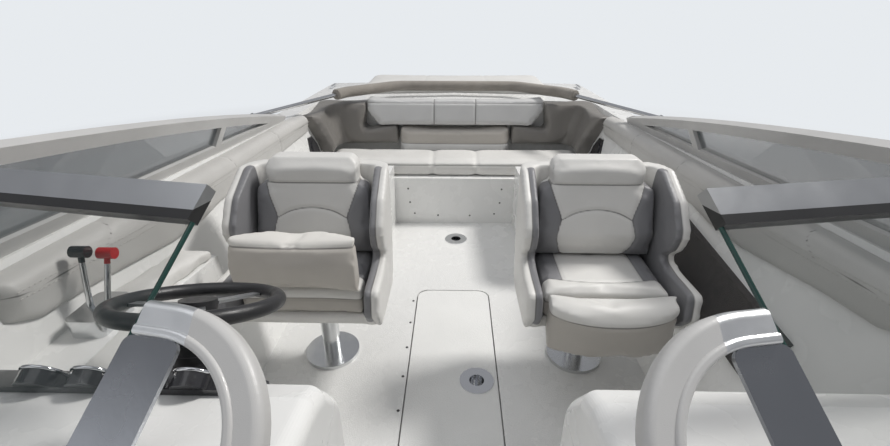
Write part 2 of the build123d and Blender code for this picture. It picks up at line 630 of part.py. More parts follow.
def make_stay():
    """Flat polished plate down the pane's free edge to the console."""
    with BuildPart() as stay:
        with BuildSketch(pane_plane.offset(-PANE_THICK / 2 - SEAT_GAP)) as plate:
            top, low = STAY_TOP_Z, FOOT_RAIL_Z
            with BuildLine():
                Polyline(*in_pane((edge_y(top) - STAY_WIDE, top), (edge_y(top), top),
                                  (edge_y(low) - 4, low), (edge_y(low) - 4 - STAY_WIDE, low)),
                         close=True)
            make_face()
            fillet(plate.vertices().sort_by(Axis.Y)[:2], STAY_ROUND)
        extrude(amount=-STAY_THICK)
    return stay


both_sides(lambda: on_console(make_stay), "stay_plates")


def make_hoop():
    """Sculpted grab hoop from the stay plate down to the console beside the walkway."""
    points = [(edge_y(HOOP_TOP) - 12, HOOP_TOP), (HOOP_IN, HOOP_TOP), (HOOP_IN + 3, FOOT_RAIL_Z - 6)]
    with BuildPart() as hoop:
        with BuildLine(pane_plane) as path:
            FilletPolyline(*in_pane(*points), radius=HOOP_ROUND)
        with BuildSketch(Plane(origin=path.line @ 0, x_dir=pane_plane.z_dir, z_dir=path.line % 0)):
            RectangleRounded(HOOP_DEEP, HOOP_FACE, 12)
            with Locations((-HOOP_DEEP / 2 + 3, HOOP_FACE / 2 - HOOP_LIP / 2)):
                RectangleRounded(HOOP_LIP, HOOP_LIP, 5)
        sweep()
    return hoop


both_sides(lambda: on_console(make_hoop), "walkway_hoops")

wing_x = Vector(*WING_FOOT) - Vector(*WING_TIP)
wing_plane = Plane(origin=Vector(*WING_TIP), x_dir=wing_x,
                   z_dir=wing_x.cross(Vector(*WING_HEAD) - Vector(*WING_TIP)))
wing_head = wing_plane.to_local_coords(Vector(*WING_HEAD))
WING_LONG = wing_x.length
HEAD_MID = (0.52 * wing_head.X, 0.52 * wing_head.Y + WING_BULGE)


def wing_shape(inset, foot=0.0):
    """The outline of a wing in its own plane: whole, or its two window openings."""
    with BuildSketch() as shape:
        with BuildLine():
            nose = [(WING_LONG, -foot), (WING_LONG, 0)] if foot else [(WING_LONG, 0)]
            Polyline((0, WING_TAIL), (0, -foot), *nose, (wing_head.X, wing_head.Y))
            ThreePointArc((wing_head.X, wing_head.Y), HEAD_MID, (0, WING_TAIL))
        make_face()
        if inset:
            offset(amount=-inset, kind=Kind.INTERSECTION)
            with BuildLine():
                Polyline((WING_POST, -50), (WING_POST + POST_WIDE, -50),
                         (WING_POST + POST_WIDE - POST_LEAN, 400), (WING_POST - POST_LEAN, 400),
                         close=True)
            make_face(mode=Mode.SUBTRACT)
    return shape.sketch


def make_wing_frame():
    with BuildPart() as frame:
        with BuildSketch(wing_plane):
            add(wing_shape(0, WING_FOOT_DEEP))
        extrude(amount=WING_DEPTH / 2, both=True)
        with BuildSketch(wing_plane):
            add(wing_shape(WING_FRAME))
        extrude(amount=WING_DEPTH, both=True, mode=Mode.SUBTRACT)
        add(envelope, mode=Mode.SUBTRACT)
    return frame


def make_wing_glass():
    with BuildPart() as glass:
        with BuildSketch(wing_plane):
            add(wing_shape(WING_FRAME))
        extrude(amount=PANE_THICK / 2, both=True)
    return glass


both_sides(make_wing_frame, "wing_frames")
both_sides(make_wing_glass, "wing_glass")
print("windshield done")


# Padding along the cockpit sides
def side_pad(thick, outline, thick_aft=0.0):
    """A pad of even thickness on the port wall, cut to an outline in XZ."""
    with BuildPart() as pad:
        with BuildSketch(Plane.XZ):
            with BuildLine():
                Polyline(*outline, close=True)
            make_face()
        extrude(amount=-1300)
        low, high = SOLE_Z, COCKPIT_TOP + 60
        add(cockpit_plan(flare(low) - SEAT_GAP, flare(high) - SEAT_GAP, low, high,
                         COCKPIT_AFT + SEAT_GAP, COCKPIT_FWD - SEAT_GAP), mode=Mode.INTERSECT)
        add(cockpit_plan(flare(low) - thick, flare(high) - thick, low, high,
                         COCKPIT_AFT + (thick_aft or thick), COCKPIT_FWD - thick), mode=Mode.SUBTRACT)
    return pad


def make_bolster():
    return side_pad(BOLSTER_THICK, [(-2186, 756), (-1950, 778), (-1350, 832), (-60, 935), (-60, 990),
                                    (-900, 925), (-1950, 899), (-2136, 889)])


def make_wrap():
    return side_pad(WRAP_THICK, [(COCKPIT_AFT - 5, 590), (-2240, 590), (-2235, 640), (-2195, 752),
                                 (-2144, 890), (-2330, 894), (COCKPIT_AFT - 5, 908)], WRAP_AFT)


both_sides(make_bolster, "coaming_bolsters")


def clipped(make, y_min):
    with BuildPart() as piece:
        add(make().part)
        with Locations((-2300, (y_min + 1300) / 2, 700)):
            Box(1200, 1300 - y_min, 1400, mode=Mode.INTERSECT)
        with Locations((COCKPIT_AFT + 60, 0, UPPER_Z - 3 + 200)):
            Box(240, 2 * (UPPER_HALF + 4), 400, mode=Mode.SUBTRACT)
    return piece


wall_normal = Vector(0, SOLE_Z - COCKPIT_TOP, COCKPIT_HIGH - COCKPIT_LOW)


def make_speaker():
    """Cut-cornered plate under the aft end of the coaming pad, with its round speaker."""
    with BuildPart() as speaker:
        add(side_pad(SPEAKER_PLATE, [(-2060, 600), (-2225, 600), (-2222, 668), (-2178, 736), (-2108, 742),
                                     (-2062, 668)]).part)
        centre = Vector(SPEAKER_AT[0], flare(SPEAKER_AT[1]), SPEAKER_AT[1])
        with BuildSketch(Plane(origin=centre, z_dir=wall_normal).offset(2)):
            Circle(SPEAKER_R)
        extrude(amount=SPEAKER_PLATE + 4)
    return speaker


both_sides(make_speaker, "speakers")

both_sides(lambda: clipped(make_wrap, WRAP_Y), "wrap_backrests")

with BuildPart() as side_pocket:
    add(side_pad(POCKET_THICK, [(-1300, 560), (-300, 520), (-240, 690), (-1200, 770)]).part)
write(side_pocket, "side_pocket")

with BuildPart() as armrest:
    add(side_pad(ARMREST_WIDE, [(-600, 735), (-250, 775), (-250, 815), (-600, 775)]).part)
    add(armrest.part.mirror(Plane.XZ), mode=Mode.REPLACE)
write(armrest, "armrest")


# Stern lounge: bench on the liner's shelf, side boxes and cushions
def make_side_box():
    with BuildPart() as box:
        with BuildSketch(Plane.XY.offset(SOLE_Z)):
            with BuildLine():
                Polyline((BENCH_FRONT, WELL_HALF), (BOX_FWD - 60, WELL_HALF + 30),
                         (BOX_FWD, WELL_HALF + 110), (BOX_FWD, 1100), (BENCH_FRONT, 1100), close=True)
            make_face()
        extrude(amount=BOX_TOP - SOLE_Z)
        add(inner_hollow, mode=Mode.INTERSECT)
    return box


both_sides(make_side_box, "side_boxes")

with BuildPart() as lounge_seat:
    for y0, y1 in ((-880, -152), (-148, 148), (152, 880)):
        add(rounded_box(SEAT_FRONT_X - 345, SEAT_FRONT_X, y0, y1, BENCH_Z + SEAT_GAP,
                        BENCH_CUSHION_TOP, 24))
    add(inner_hollow, mode=Mode.INTERSECT)
write(lounge_seat, "lounge_seat")

with BuildPart() as lower_back:
    with BuildSketch(Plane.XZ):
        with BuildLine():
            Polyline((COCKPIT_AFT + SEAT_GAP, BENCH_Z + SEAT_GAP), (SEAT_FRONT_X - 347, BENCH_Z + SEAT_GAP),
                     (SEAT_FRONT_X - 347, 600), (-2468, 724), (COCKPIT_AFT + SEAT_GAP, 724), close=True)
        make_face()
    extrude(amount=WRAP_Y - 2, both=True)
write(lower_back, "lounge_lower_back")

with BuildPart() as upper_back:
    for y0, y1 in ((-640, -150), (-146, 146), (150, 640)):
        with BuildSketch(Plane.XZ.offset(-y0)):
            with BuildLine():
                Polyline((COCKPIT_AFT + SEAT_GAP, UPPER_Z), (-2464, UPPER_Z), (-2510, 925),
                         (COCKPIT_AFT + SEAT_GAP, 925), close=True)
            make_face()
        extrude(amount=-(y1 - y0))
    with BuildSketch(Plane.YZ.offset(COCKPIT_AFT)) as front:
        with BuildLine():
            Polyline((-UPPER_HALF + UPPER_SLANT, UPPER_Z), (UPPER_HALF - UPPER_SLANT, UPPER_Z),
                     (UPPER_HALF, 835), (UPPER_HALF, 925), (-UPPER_HALF, 925), (-UPPER_HALF, 835),
                     close=True)
        make_face()
        low = front.vertices().sort_by(Axis.Y)
        fillet(low[:4], 46)
        fillet(front.vertices().sort_by(Axis.Y)[-2:], 26)
    extrude(amount=200, mode=Mode.INTERSECT)
write(upper_back, "lounge_upper_back")

# Stern deck: engine hatch with its sunpad, folded sun top
with BuildPart() as engine_hatch:
    with Locations(((SUNPAD_AFT + SUNPAD_FWD) / 2, 0, HATCH_SEAT_Z + SEAT_GAP + HATCH_LID / 2)):
        Box(SUNPAD_FWD - SUNPAD_AFT - 2 * HATCH_GAP, 2 * (SUNPAD_HALF - HATCH_GAP), HATCH_LID)
write(engine_hatch, "engine_hatch")

with BuildPart() as sunpad:
    add(rounded_box(SUNPAD_AFT + HATCH_GAP, SUNPAD_FWD - HATCH_GAP, -SUNPAD_HALF + HATCH_GAP,
                    SUNPAD_HALF - HATCH_GAP, HATCH_SEAT_Z + HATCH_LID + 2 * SEAT_GAP, SUNPAD_TOP, 28))
write(sunpad, "sunpad")


def sweep_bows(port_end, radius):
    """Sweeps a circle along the folded bows, from one side's end to the other's."""
    port = [port_end, *BIMINI_CORNERS]
    with BuildPart() as swept:
        with BuildLine(Plane.XY.offset(BIMINI_ROOT[2])) as bows:
            FilletPolyline(*[(x, -y) for x, y in port], *reversed(port), radius=BIMINI_BEND)
        with BuildSketch(Plane(origin=bows.line @ 0, z_dir=bows.line % 0)):
            Circle(radius)
        sweep()
    return swept.part


with BuildPart() as bimini_frame:
    add(sweep_bows(BIMINI_ROOT[:2], BIMINI_R))
    for side in (-1, 1):
        root = Vector(BIMINI_ROOT[0], side * BIMINI_ROOT[1], BIMINI_ROOT[2])
        with Locations(Location(root, (90, 0, 0))):
            Cylinder(EYE_R, EYE_WIDE)
            Cylinder(EYE_PIN + PIN_GAP, 4 * EYE_WIDE, mode=Mode.SUBTRACT)
write(bimini_frame, "bimini_frame")

with BuildPart() as fittings:
    for side in (-1, 1):
        y = side * (BIMINI_ROOT[1] + EYE_WIDE / 2 + 3 + MOUNT_PLATE / 2)
        with Locations((BIMINI_ROOT[0], side * (BIMINI_ROOT[1] + 2), BIMINI_ROOT[2])):
            Cylinder(EYE_PIN, EYE_WIDE + 8, rotation=(90, 0, 0))
        with Locations((BIMINI_ROOT[0], y, (BIMINI_ROOT[2] + EYE_R + MOUNT_LOW) / 2)):
            Box(2 * EYE_R, MOUNT_PLATE, BIMINI_ROOT[2] + EYE_R - MOUNT_LOW)

with BuildPart() as bimini_roll:
    add(sweep_bows(ROLL_END, ROLL_R))
    add(sweep_bows(BIMINI_ROOT[:2], BIMINI_R + SEAT_GAP), mode=Mode.SUBTRACT)
write(bimini_roll, "bimini_roll")

# Sole: ski locker hatch and two table sockets
with BuildPart() as locker_hatch:
    add(locker_space(-HATCH_GAP, SOLE_Z - HATCH_THICK, SOLE_Z))
    with Locations((SOCKET_FWD_X, SOCKET_FWD_Y, SOLE_Z)):
        Cylinder(SOCKET_R + SEAT_GAP, 200, mode=Mode.SUBTRACT)
write(locker_hatch, "locker_hatch")


def make_socket(x, y):
    with BuildPart() as socket:
        with Locations((x, y, SOLE_Z + SOCKET_FLANGE / 2)):
            Cylinder(SOCKET_FLANGE_R, SOCKET_FLANGE)
        with Locations((x, y, SOLE_Z - SOCKET_DEEP / 2)):
            Cylinder(SOCKET_R, SOCKET_DEEP)
        with Locations((x, y, SOLE_Z - SOCKET_DEEP / 2 + 6)):
            Cylinder(SOCKET_BORE / 2, SOCKET_DEEP + 2 * SOCKET_FLANGE, mode=Mode.SUBTRACT)
    return socket


write(make_socket(SOCKET_X, SOCKET_Y), "table_socket_aft")
write(make_socket(SOCKET_FWD_X, SOCKET_FWD_Y), "table_socket_fwd")


# Seats: pedestal, shell with wrap-round wings, cushion, back and flip-up bolster
def make_pedestal():
    with BuildPart() as pedestal:
        with Locations((PEDESTAL_X, SEAT_Y, SOLE_Z + 8)):
            Cylinder(PEDESTAL_R, 16)
        with Locations((PEDESTAL_X, SEAT_Y, (SOLE_Z + SEAT_UNDER - 40) / 2)):
            Cylinder(PEDESTAL_TUBE, SEAT_UNDER - 40 - SOLE_Z)
    return pedestal


def make_shell():
    with BuildPart() as cavity:
        with BuildSketch(Plane.XZ.offset(-SEAT_Y)):
            with BuildLine():
                Polyline(*CAVITY_PROFILE, close=True)
            make_face()
        extrude(amount=SEAT_HALF - SHELL_WALL, both=True)
        fillet(cavity.edges().filter_by(lambda e: e.center().X < -830 and e.length > 100
                                        and abs(e.center().Y - SEAT_Y) > 200), CAVITY_ROUND)
    with BuildPart() as shell:
        with BuildSketch(Plane.XZ.offset(-SEAT_Y)) as side:
            with BuildLine():
                Polyline(*[(x, z) for x, z, _ in SHELL_PROFILE], close=True)
            make_face()
            for x, z, radius in SHELL_PROFILE:
                if radius:
                    corner = side.vertices().sort_by_distance((x, z, 0))[0]
                    fillet(corner, radius)
        extrude(amount=SEAT_HALF, both=True)
        fillet(shell.edges().filter_by(lambda e: e.center().X < -850 and e.length > 200
                                       and abs(e.center().Y - SEAT_Y) > 200), SHELL_ROUND)
        add(cavity.part, mode=Mode.SUBTRACT)
        with Locations((PEDESTAL_X, SEAT_Y, SEAT_UNDER - 19)):
            Cylinder(90, 42 - SEAT_GAP)
    return shell


def make_cushion():
    half = SEAT_HALF - SHELL_WALL - SEAT_GAP
    with BuildPart() as cushion:
        add(rounded_box(CUSHION_X[0], CUSHION_X[1], SEAT_Y - half, SEAT_Y + half,
                        SEAT_UNDER + FLOOR_THICK + SEAT_GAP, CUSHION_TOP, 20))
        with BuildSketch():
            with Locations((CUSHION_X[0] + half, SEAT_Y)):
                RectangleRounded(2 * half, 2 * half, CAVITY_ROUND + 6)
        extrude(amount=900, mode=Mode.INTERSECT)
    return cushion


def make_back():
    half = SEAT_HALF - SHELL_WALL - SEAT_GAP
    with BuildPart() as back:
        with BuildSketch(Plane.XZ.offset(-SEAT_Y)):
            with BuildLine():
                Polyline(*BACK_PROFILE, close=True)
            make_face()
        extrude(amount=half, both=True)
        fillet(back.edges().filter_by(lambda e: e.center().X < -830 and e.length > 30
                                      and abs(e.center().Y - SEAT_Y) > 200), CAVITY_ROUND + SEAT_GAP)
        with BuildSketch(Plane.XZ.offset(-SEAT_Y)):
            with BuildLine():
                Polyline(*HEAD_PROFILE, close=True)
            make_face()
        extrude(amount=HEAD_HALF, both=True)
        top = back.faces().sort_by(Axis.Z)[-1]
        fillet(back.edges().filter_by(lambda e: e.center().Z > 990
                                      and abs(abs(e.center().Y - SEAT_Y) - HEAD_HALF) < 1
                                      and abs(e.center().Z - HEAD_PROFILE[-1][1]) < 1), HEAD_ROUND)
    return back


def make_bolster_pad():
    """The front of the seat, as it hangs when the bolster is down."""
    with BuildPart() as pad:
        with BuildSketch(Plane.XZ.offset(-SEAT_Y)):
            with BuildLine():
                Polyline(*BOLSTER_PROFILE, close=True)
            make_face()
        extrude(amount=BOLSTER_HALF, both=True)
        fillet(pad.edges().filter_by(Axis.Y), 8)
        front = max(x for x, z in BOLSTER_PROFILE)
        with BuildSketch():
            with BuildLine():
                ThreePointArc((front - BOLSTER_BOW, SEAT_Y - BOLSTER_HALF), (front, SEAT_Y),
                              (front - BOLSTER_BOW, SEAT_Y + BOLSTER_HALF))
                Polyline((front - BOLSTER_BOW, SEAT_Y + BOLSTER_HALF), (-600, SEAT_Y + BOLSTER_HALF),
                         (-600, SEAT_Y - BOLSTER_HALF), (front - BOLSTER_BOW, SEAT_Y - BOLSTER_HALF))
            make_face()
        extrude(amount=900, mode=Mode.INTERSECT)
        with Locations((BOLSTER_HINGE[0], SEAT_Y, BOLSTER_HINGE[1])):
            Cylinder(6, 2 * (SEAT_HALF - SHELL_WALL - SEAT_GAP), rotation=(90, 0, 0))
    return pad


for label, maker in (("pedestal", make_pedestal), ("seat_shell", make_shell),
                     ("seat_cushion", make_cushion), ("seat_back", make_back)):
    piece = maker()
    write(piece, f"companion_{label}")
    with BuildPart() as mirrored:
        add(piece.part.mirror(Plane.XZ))
    write(mirrored, f"helm_{label}")

companion_bolster = make_bolster_pad()
write(companion_bolster, "companion_bolster")
with BuildPart() as helm_bolster:
    hinge = Axis((BOLSTER_HINGE[0], 0, BOLSTER_HINGE[1]), (0, 1, 0))
    add(companion_bolster.part.mirror(Plane.XZ).rotate(hinge, -BOLSTER_SWING))
write(helm_bolster, "helm_bolster")
print("seats done")

# Bow cockpit: cushions on the liner's bench, backrests round the wall
bow_inside = bow_plan(-SEAT_GAP, BOW_SEAT_Z + SEAT_GAP, 960)
with BuildPart() as bow_cushions:
    with BuildSketch(Plane.XY.offset(BOW_SEAT_Z + SEAT_GAP)):
        for side in (-1, 1):
            with Locations(((BOW_AFT + 2 + BOW_WELL_FWD) / 2, side * (BOW_WELL_HALF + 800) / 2)):
                Rectangle(BOW_WELL_FWD - BOW_AFT - 6, 800 - BOW_WELL_HALF)
        with Locations(((BOW_WELL_FWD + 2900) / 2, 0)):
            Rectangle(2900 - BOW_WELL_FWD, 1700)
    extrude(amount=BOW_CUSHION)
    add(bow_inside, mode=Mode.INTERSECT)
write(bow_cushions, "bow_cushions")

with BuildPart() as bow_backs:
    add(bow_plan(-SEAT_GAP, BOW_SEAT_Z + BOW_CUSHION + 2, 950))
    add(bow_plan(-BOW_BACK, BOW_SEAT_Z, 1000), mode=Mode.SUBTRACT)
    with Locations((1960, 0, 700)):
        Box(2000, 2000, 1000, mode=Mode.INTERSECT)
    with Locations((2700, 0, 700)):
        Box(600, 40, 1000, mode=Mode.SUBTRACT)
    for side in (-1, 1):
        y0, y1 = sorted((side * (WALK_HALF + 14), side * (BOW_HALF - 2)))
        add(rounded_box(BOW_AFT + SEAT_GAP, BOW_AFT + 110, y0, y1, BOW_SEAT_Z + BOW_CUSHION + 2, 980,
                        24))
write(bow_backs, "bow_backrests")

# Foredeck: anchor locker lid cut from the deck's own surface, grab rails, cleats
with BuildPart() as anchor_lid:
    add(envelope)
    with Locations(((ANCHOR_AFT + ANCHOR_FWD) / 2, 0, ANCHOR_SEAT_Z + SEAT_GAP + 200)):
        Box(ANCHOR_FWD - ANCHOR_AFT - 2 * HATCH_GAP, 2 * (ANCHOR_HALF - HATCH_GAP), 400,
            mode=Mode.INTERSECT)
write(anchor_lid, "anchor_locker_lid")


def make_bow_rail():
    with BuildPart() as rail:
        with BuildLine() as path:
            FilletPolyline(*BOW_RAIL, radius=38)
        with BuildSketch(Plane(origin=path.line @ 0, z_dir=path.line % 0)):
            Circle(11)
        sweep()
        add(envelope, mode=Mode.SUBTRACT)
    return rail


both_sides(make_bow_rail, "bow_rails")

with BuildPart() as deck_fittings:
    add(fittings.part)
    for x, y, z in CLEATS:
        for side in (-1, 1):
            with Locations((x, side * y, z + 24)):
                Box(150, 16, 12)
            for dx in (-26, 26):
                with Locations((x + dx, side * y, z)):
                    Box(14, 16, 48)
    add(envelope, mode=Mode.SUBTRACT)
write(deck_fittings, "deck_fittings")

# Stern drive: engine block in its bay, bracket, steering ring, leg and propeller
with BuildPart() as engine:
    with Locations((ENGINE_X, 0, BAY_FLOOR + ENGINE_TALL / 2)):
        Box(ENGINE_LONG, ENGINE_WIDE, ENGINE_TALL)
write(engine, "engine")

RING_X = TRANSOM_X - RING_BACK
TILT_X = TRANSOM_X - TILT_BACK
with BuildPart() as bracket:
    with Locations((TRANSOM_X - BRACKET_PLATE / 2, 0, 0)):
        Box(BRACKET_PLATE, 2 * BRACKET_HALF, 2 * BRACKET_HALF)
    for side in (-1, 1):
        z = side * (RING_HALF + EAR / 2)
        with Locations((TRANSOM_X - RING_BACK / 2, 0, z)):
            Box(RING_BACK, 2 * EAR_ROUND, EAR)
        with Locations((RING_X, 0, z)):
            Cylinder(EAR_ROUND, EAR)
            Cylinder(PIN_R + PIN_GAP, EAR + 2, mode=Mode.SUBTRACT)
write(bracket, "drive_bracket")

with BuildPart() as ring:
    with Locations((RING_X, 0, 0)):
        Box(44, 2 * YOKE_IN + 2 * YOKE, 2 * (RING_HALF - SEAT_GAP))
        Cylinder(PIN_R, 2 * (RING_HALF + EAR))
    for side in (-1, 1):
        y = side * (YOKE_IN + YOKE / 2)
        with Locations(((RING_X + TILT_X) / 2 - 16, y, 0)):
            Box(RING_X - TILT_X + 34, YOKE, 90)
        with Locations((TILT_X, y, 0)):
            Cylinder(PIN_R + PIN_GAP, YOKE + 2, rotation=(90, 0, 0), mode=Mode.SUBTRACT)
write(ring, "gimbal_ring")

with BuildPart() as leg:
    with BuildSketch(Plane.XZ):
        with BuildLine():
            Polyline(*LEG_PROFILE, close=True)
        make_face()
    extrude(amount=LEG_HALF, both=True)
    aft, front = min(x for x, z in LEG_PROFILE), max(x for x, z in LEG_PROFILE)
    with BuildSketch(Plane.XY.offset(-800)):
        with Locations(((aft + front) / 2, 0)):
            RectangleRounded(front - aft, 2 * LEG_HALF, LEG_ROUND)
    extrude(amount=1000, mode=Mode.INTERSECT)
    for side in (-1, 1):
        with Locations(((aft + front) / 2, side * (STRUT_HALF + 100), STRUT_TOP - 300)):
            Box(600, 200, 600, mode=Mode.SUBTRACT)
    fillet(leg.edges().filter_by(lambda e: abs(e.center().Z - STRUT_TOP) < 1
                                 and abs(abs(e.center().Y) - LEG_HALF) < 1), 14)
    with Locations((TILT_X, 0, 0)):
        Cylinder(PIN_R, 2 * (YOKE_IN + YOKE), rotation=(90, 0, 0))
    with BuildSketch(Plane.XY.offset(PLATE_Z - PLATE_THICK / 2)):
        with Locations((PLATE_X, 0)):
            RectangleRounded(PLATE_LONG, PLATE_WIDE, 70)
    extrude(amount=PLATE_THICK)
    with BuildSketch(Plane.YZ.offset(GEARCASE[0])):
        with Locations((0, PROP_Z)):
            Circle(GEARCASE_R)
    with BuildSketch(Plane.YZ.offset(GEARCASE[1])):
        with Locations((0, PROP_Z)):
            Circle(GEARCASE_R * 0.4)
    loft()
    with BuildSketch(Plane.XZ):
        with BuildLine():
            Polyline(*SKEG, close=True)
        make_face()
    extrude(amount=SKEG_HALF, both=True)
    with BuildSketch(Plane.YZ.offset(GEARCASE[0])):
        with Locations((0, PROP_Z)):
            Circle(PROP_SHAFT_R)
    extrude(amount=-PROP_SHAFT)
write(leg, "drive_leg")

with BuildPart() as propeller:
    with BuildSketch(Plane.YZ.offset(GEARCASE[0] - SEAT_GAP)):
        with Locations((0, PROP_Z)):
            Circle(HUB_PROP_R)
            Circle(PROP_SHAFT_R + PIN_GAP, mode=Mode.SUBTRACT)
    extrude(amount=-HUB_PROP_LONG)
    for index in range(PROP_BLADES):
        angle = 360 / PROP_BLADES * index
        spoke = Vector(0, math.sin(math.radians(angle)), math.cos(math.radians(angle)))
        around = Vector(1, 0, 0).cross(spoke)
        pitch = math.radians(PROP_PITCH)
        chord = Vector(1, 0, 0) * math.sin(pitch) + around * math.cos(pitch)
        centre = Vector(GEARCASE[0] - HUB_PROP_LONG / 2, 0, PROP_Z) + spoke * (PROP_R * 0.6)
        with BuildSketch(Plane(origin=centre, x_dir=spoke, z_dir=spoke.cross(chord))):
            Ellipse(PROP_R * 0.4, PROP_CHORD / 2)
        extrude(amount=BLADE_THICK / 2, both=True)
write(propeller, "propeller")
print("done")
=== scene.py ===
"""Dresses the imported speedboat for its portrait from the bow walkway, looking aft.

Metres; X points to the bow, Y to port, Z up, and the water's surface is Z = 0.
"""
import math
from collections import namedtuple

import bmesh
import bpy
import numpy as np
from mathutils import Matrix, Vector


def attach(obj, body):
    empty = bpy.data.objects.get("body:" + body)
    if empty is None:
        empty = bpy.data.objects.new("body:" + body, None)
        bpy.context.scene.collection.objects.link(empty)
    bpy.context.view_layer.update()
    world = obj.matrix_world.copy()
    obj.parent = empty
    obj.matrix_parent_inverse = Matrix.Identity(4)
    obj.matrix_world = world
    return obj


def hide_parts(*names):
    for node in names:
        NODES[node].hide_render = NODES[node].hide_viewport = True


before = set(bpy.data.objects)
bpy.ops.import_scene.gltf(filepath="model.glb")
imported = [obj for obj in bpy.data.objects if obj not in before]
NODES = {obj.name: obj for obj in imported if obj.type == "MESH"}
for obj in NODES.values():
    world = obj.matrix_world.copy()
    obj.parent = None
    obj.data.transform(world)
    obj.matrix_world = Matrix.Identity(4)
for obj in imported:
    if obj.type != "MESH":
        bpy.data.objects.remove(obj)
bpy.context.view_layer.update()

# The photograph's frame and camera
PHOTO_WIDE = 890
FOCAL_PIXELS = 450.0
SENSOR = 36.0
CLIP_END = 500.0
CAMERA_AT = (0.750, 0.0, 1.550)
CAMERA_DIP = math.radians(26.36)
CAMERA_TURN = math.radians(1.25)

# Stage
FLOOR_REACH = 60.0
FLOOR_WHITE = 0.62
FLOOR_FADE = (3.2, 7.5)         # distances between which the eye sees the floor turn into sky
WELL_X = (-3.40, 1.10)          # cut out of the floor inside the hull's waterline
WELL_HALF = 0.60
SKY_SEEN = (0.80, 0.83, 0.86)
SKY_LIGHT = (0.93, 0.95, 1.0)
SKY_STRENGTH = 0.34
# name, place, aimed at, size, watts, colour
LIGHTS = (
    ("key", (-3.5, 5.5, 8.0), (-1.2, 0.0, 0.4), (1.8, 1.8), 760.0, (1.0, 0.98, 0.95)),
    ("overhead", (0.5, -2.0, 9.0), (-0.8, 0.0, 0.3), (9.0, 7.0), 170.0, (0.97, 0.98, 1.0)),
    ("fill", (6.0, -6.0, 4.0), (-1.0, 0.0, 0.6), (6.0, 4.0), 60.0, (0.95, 0.97, 1.0)),
)

# Rigid details, at the places that the CAD source gives them
SOLE_TOP = 0.17                 # the stippled floor of both cockpits lies below this
WHEEL_AT = (-0.028, -0.547, 0.967)
SPOKE_END = 0.143
HUB_R = 0.041
THROTTLE_GRIPS = (              # centre, colour
    ((-0.199, -0.927, 0.990), (0.02, 0.02, 0.022)),
    ((-0.225, -0.883, 0.972), (0.45, 0.012, 0.015)),
)
GRIP_REACH = 0.028
HEADER_TOP = 1.307
HEADER_BARE = 0.018             # how far down from the top the bare metal reaches
HOOP_CAP_Y = 0.321              # a hoop's polished end lies outboard of this
GLASS_EDGE = [(0.1932, 0.3653, 1.271), (0.4267, 0.454, 1.062)]     # top and foot of the port pane's free edge
GLASS_EDGE_R = 0.0036
GAUGE_FACES = [(0.246, y, 1.020) for y in (-0.640, -0.560, -0.480, -0.400)]
GAUGE_LEAN = math.radians(-62)
GAUGE_R = 0.030
GAUGE_PROUD = 0.0125            # how far a ring stands off its gauge's middle
GAUGE_RING_R = 0.0028
GAUGE_RING_POINTS = 40
SCREW_R = 0.0065
BENCH_FACE_X = -2.0795
PANEL_SCREWS = (                # y and z round the inspection panel on the bench's front
    (-0.312, 0.405), (-0.302, 0.305), (-0.272, 0.222), (-0.110, 0.208),
    (0.110, 0.208), (0.278, 0.222), (0.312, 0.305), (0.320, 0.405),
)
HATCH_SCREWS_X = np.linspace(-1.16, 0.06, 8)
HATCH_SCREWS_Y = -0.205
HATCH_SCREWS_Z = 0.1505

# Foam of the pads
WELD = 1e-5
FOAM_VOXEL = 0.013              # size of a mesh cell, on small pads, broad pads and the seats
WIDE_VOXEL = 0.022
SEAT_VOXEL = 0.011
FOAM_SHRINK = 0.004
FOAM_ROUNDS = 3
FOAM_CAP = 0.012
FOAM_STEPS = 20
FOAM_PRESSURE = 4.0
GROOVE_DEEP = 0.004             # a sewn seam's groove
GROOVE_WIDE = 0.007
FAR_OFF = 9.0                   # stands for no seam near

# Seats, with half widths from each one's own centre line
SEAT_Y = {"helm": -0.530, "companion": 0.530}
WING_INSIDE = 0.257
WING_OUTSIDE = 0.27
LINING_X = -0.86                # the dark lining lies ahead of this and above LINING_Z
LINING_Z = 0.55
SHELL_SKIRT_X = -0.88
SHELL_SKIRT_Z = 0.535
BACK_FACE_X = -0.868
# height and half width of the back's middle panel
BACK_PANEL = ((0.655, 0.112), (0.70, 0.132), (0.755, 0.146), (0.80, 0.137), (0.821, 0.128), (0.943, 0.176))
BACK_PANEL_SEWN = (0.66, 0.943, 14)     # heights between which its sides are sewn, and points along them
BACK_ARCH = [(-0.128, 0.821), (-0.075, 0.846), (0.0, 0.857), (0.075, 0.846), (0.128, 0.821)]
LINING_TOP = 0.944
HEAD_SEAM = [(-0.23, 0.943), (0.23, 0.943)]     # under the headrest, as y and z
HEAD_SIDE = [(-0.815, 0.94), (-0.822, 1.0), (-0.848, 1.036)]    # up the headrest's ends, as x and z
HEAD_SIDE_Y = 0.168
BAND_X = -0.585                 # the cushion's front band starts here and curves aft by BAND_BOW at its ends
BAND_BOW = 0.035
CUSHION_HALF = 0.229
CUSHION_PANEL = 0.142           # half width of the light middle panel
CUSHION_TOP = 0.6               # the seams on top lie above this
CUSHION_WELT_X = -0.56
CUSHION_WELT_Z = 0.612
RAISED_SKIRT_X = -0.546         # the raised bolster's skirt lies ahead of this and below RAISED_SKIRT_Z
RAISED_SKIRT_Z = 0.835
LOWERED_WELT = (-0.50, 0.628)   # x and z of a point on the lowered bolster's welt
LOWERED_FALL = 0.10             # how steeply that welt falls towards the bow

# Lounge, sun pad and bow cushions
LOUNGE_WELT_X = -2.14
LOUNGE_WELT_Z = 0.556
# Below this height the lounge's lower back is painted grey: it stands for the seat cushion's light rear edge,
# darkened as painted shade
SHADED_BAND_Z = 0.612
UPPER_GAP_Y = 0.148
UPPER_GAP_HALF = 0.002
UPPER_WELT_X = -2.54
UPPER_WELT_Z = 0.893

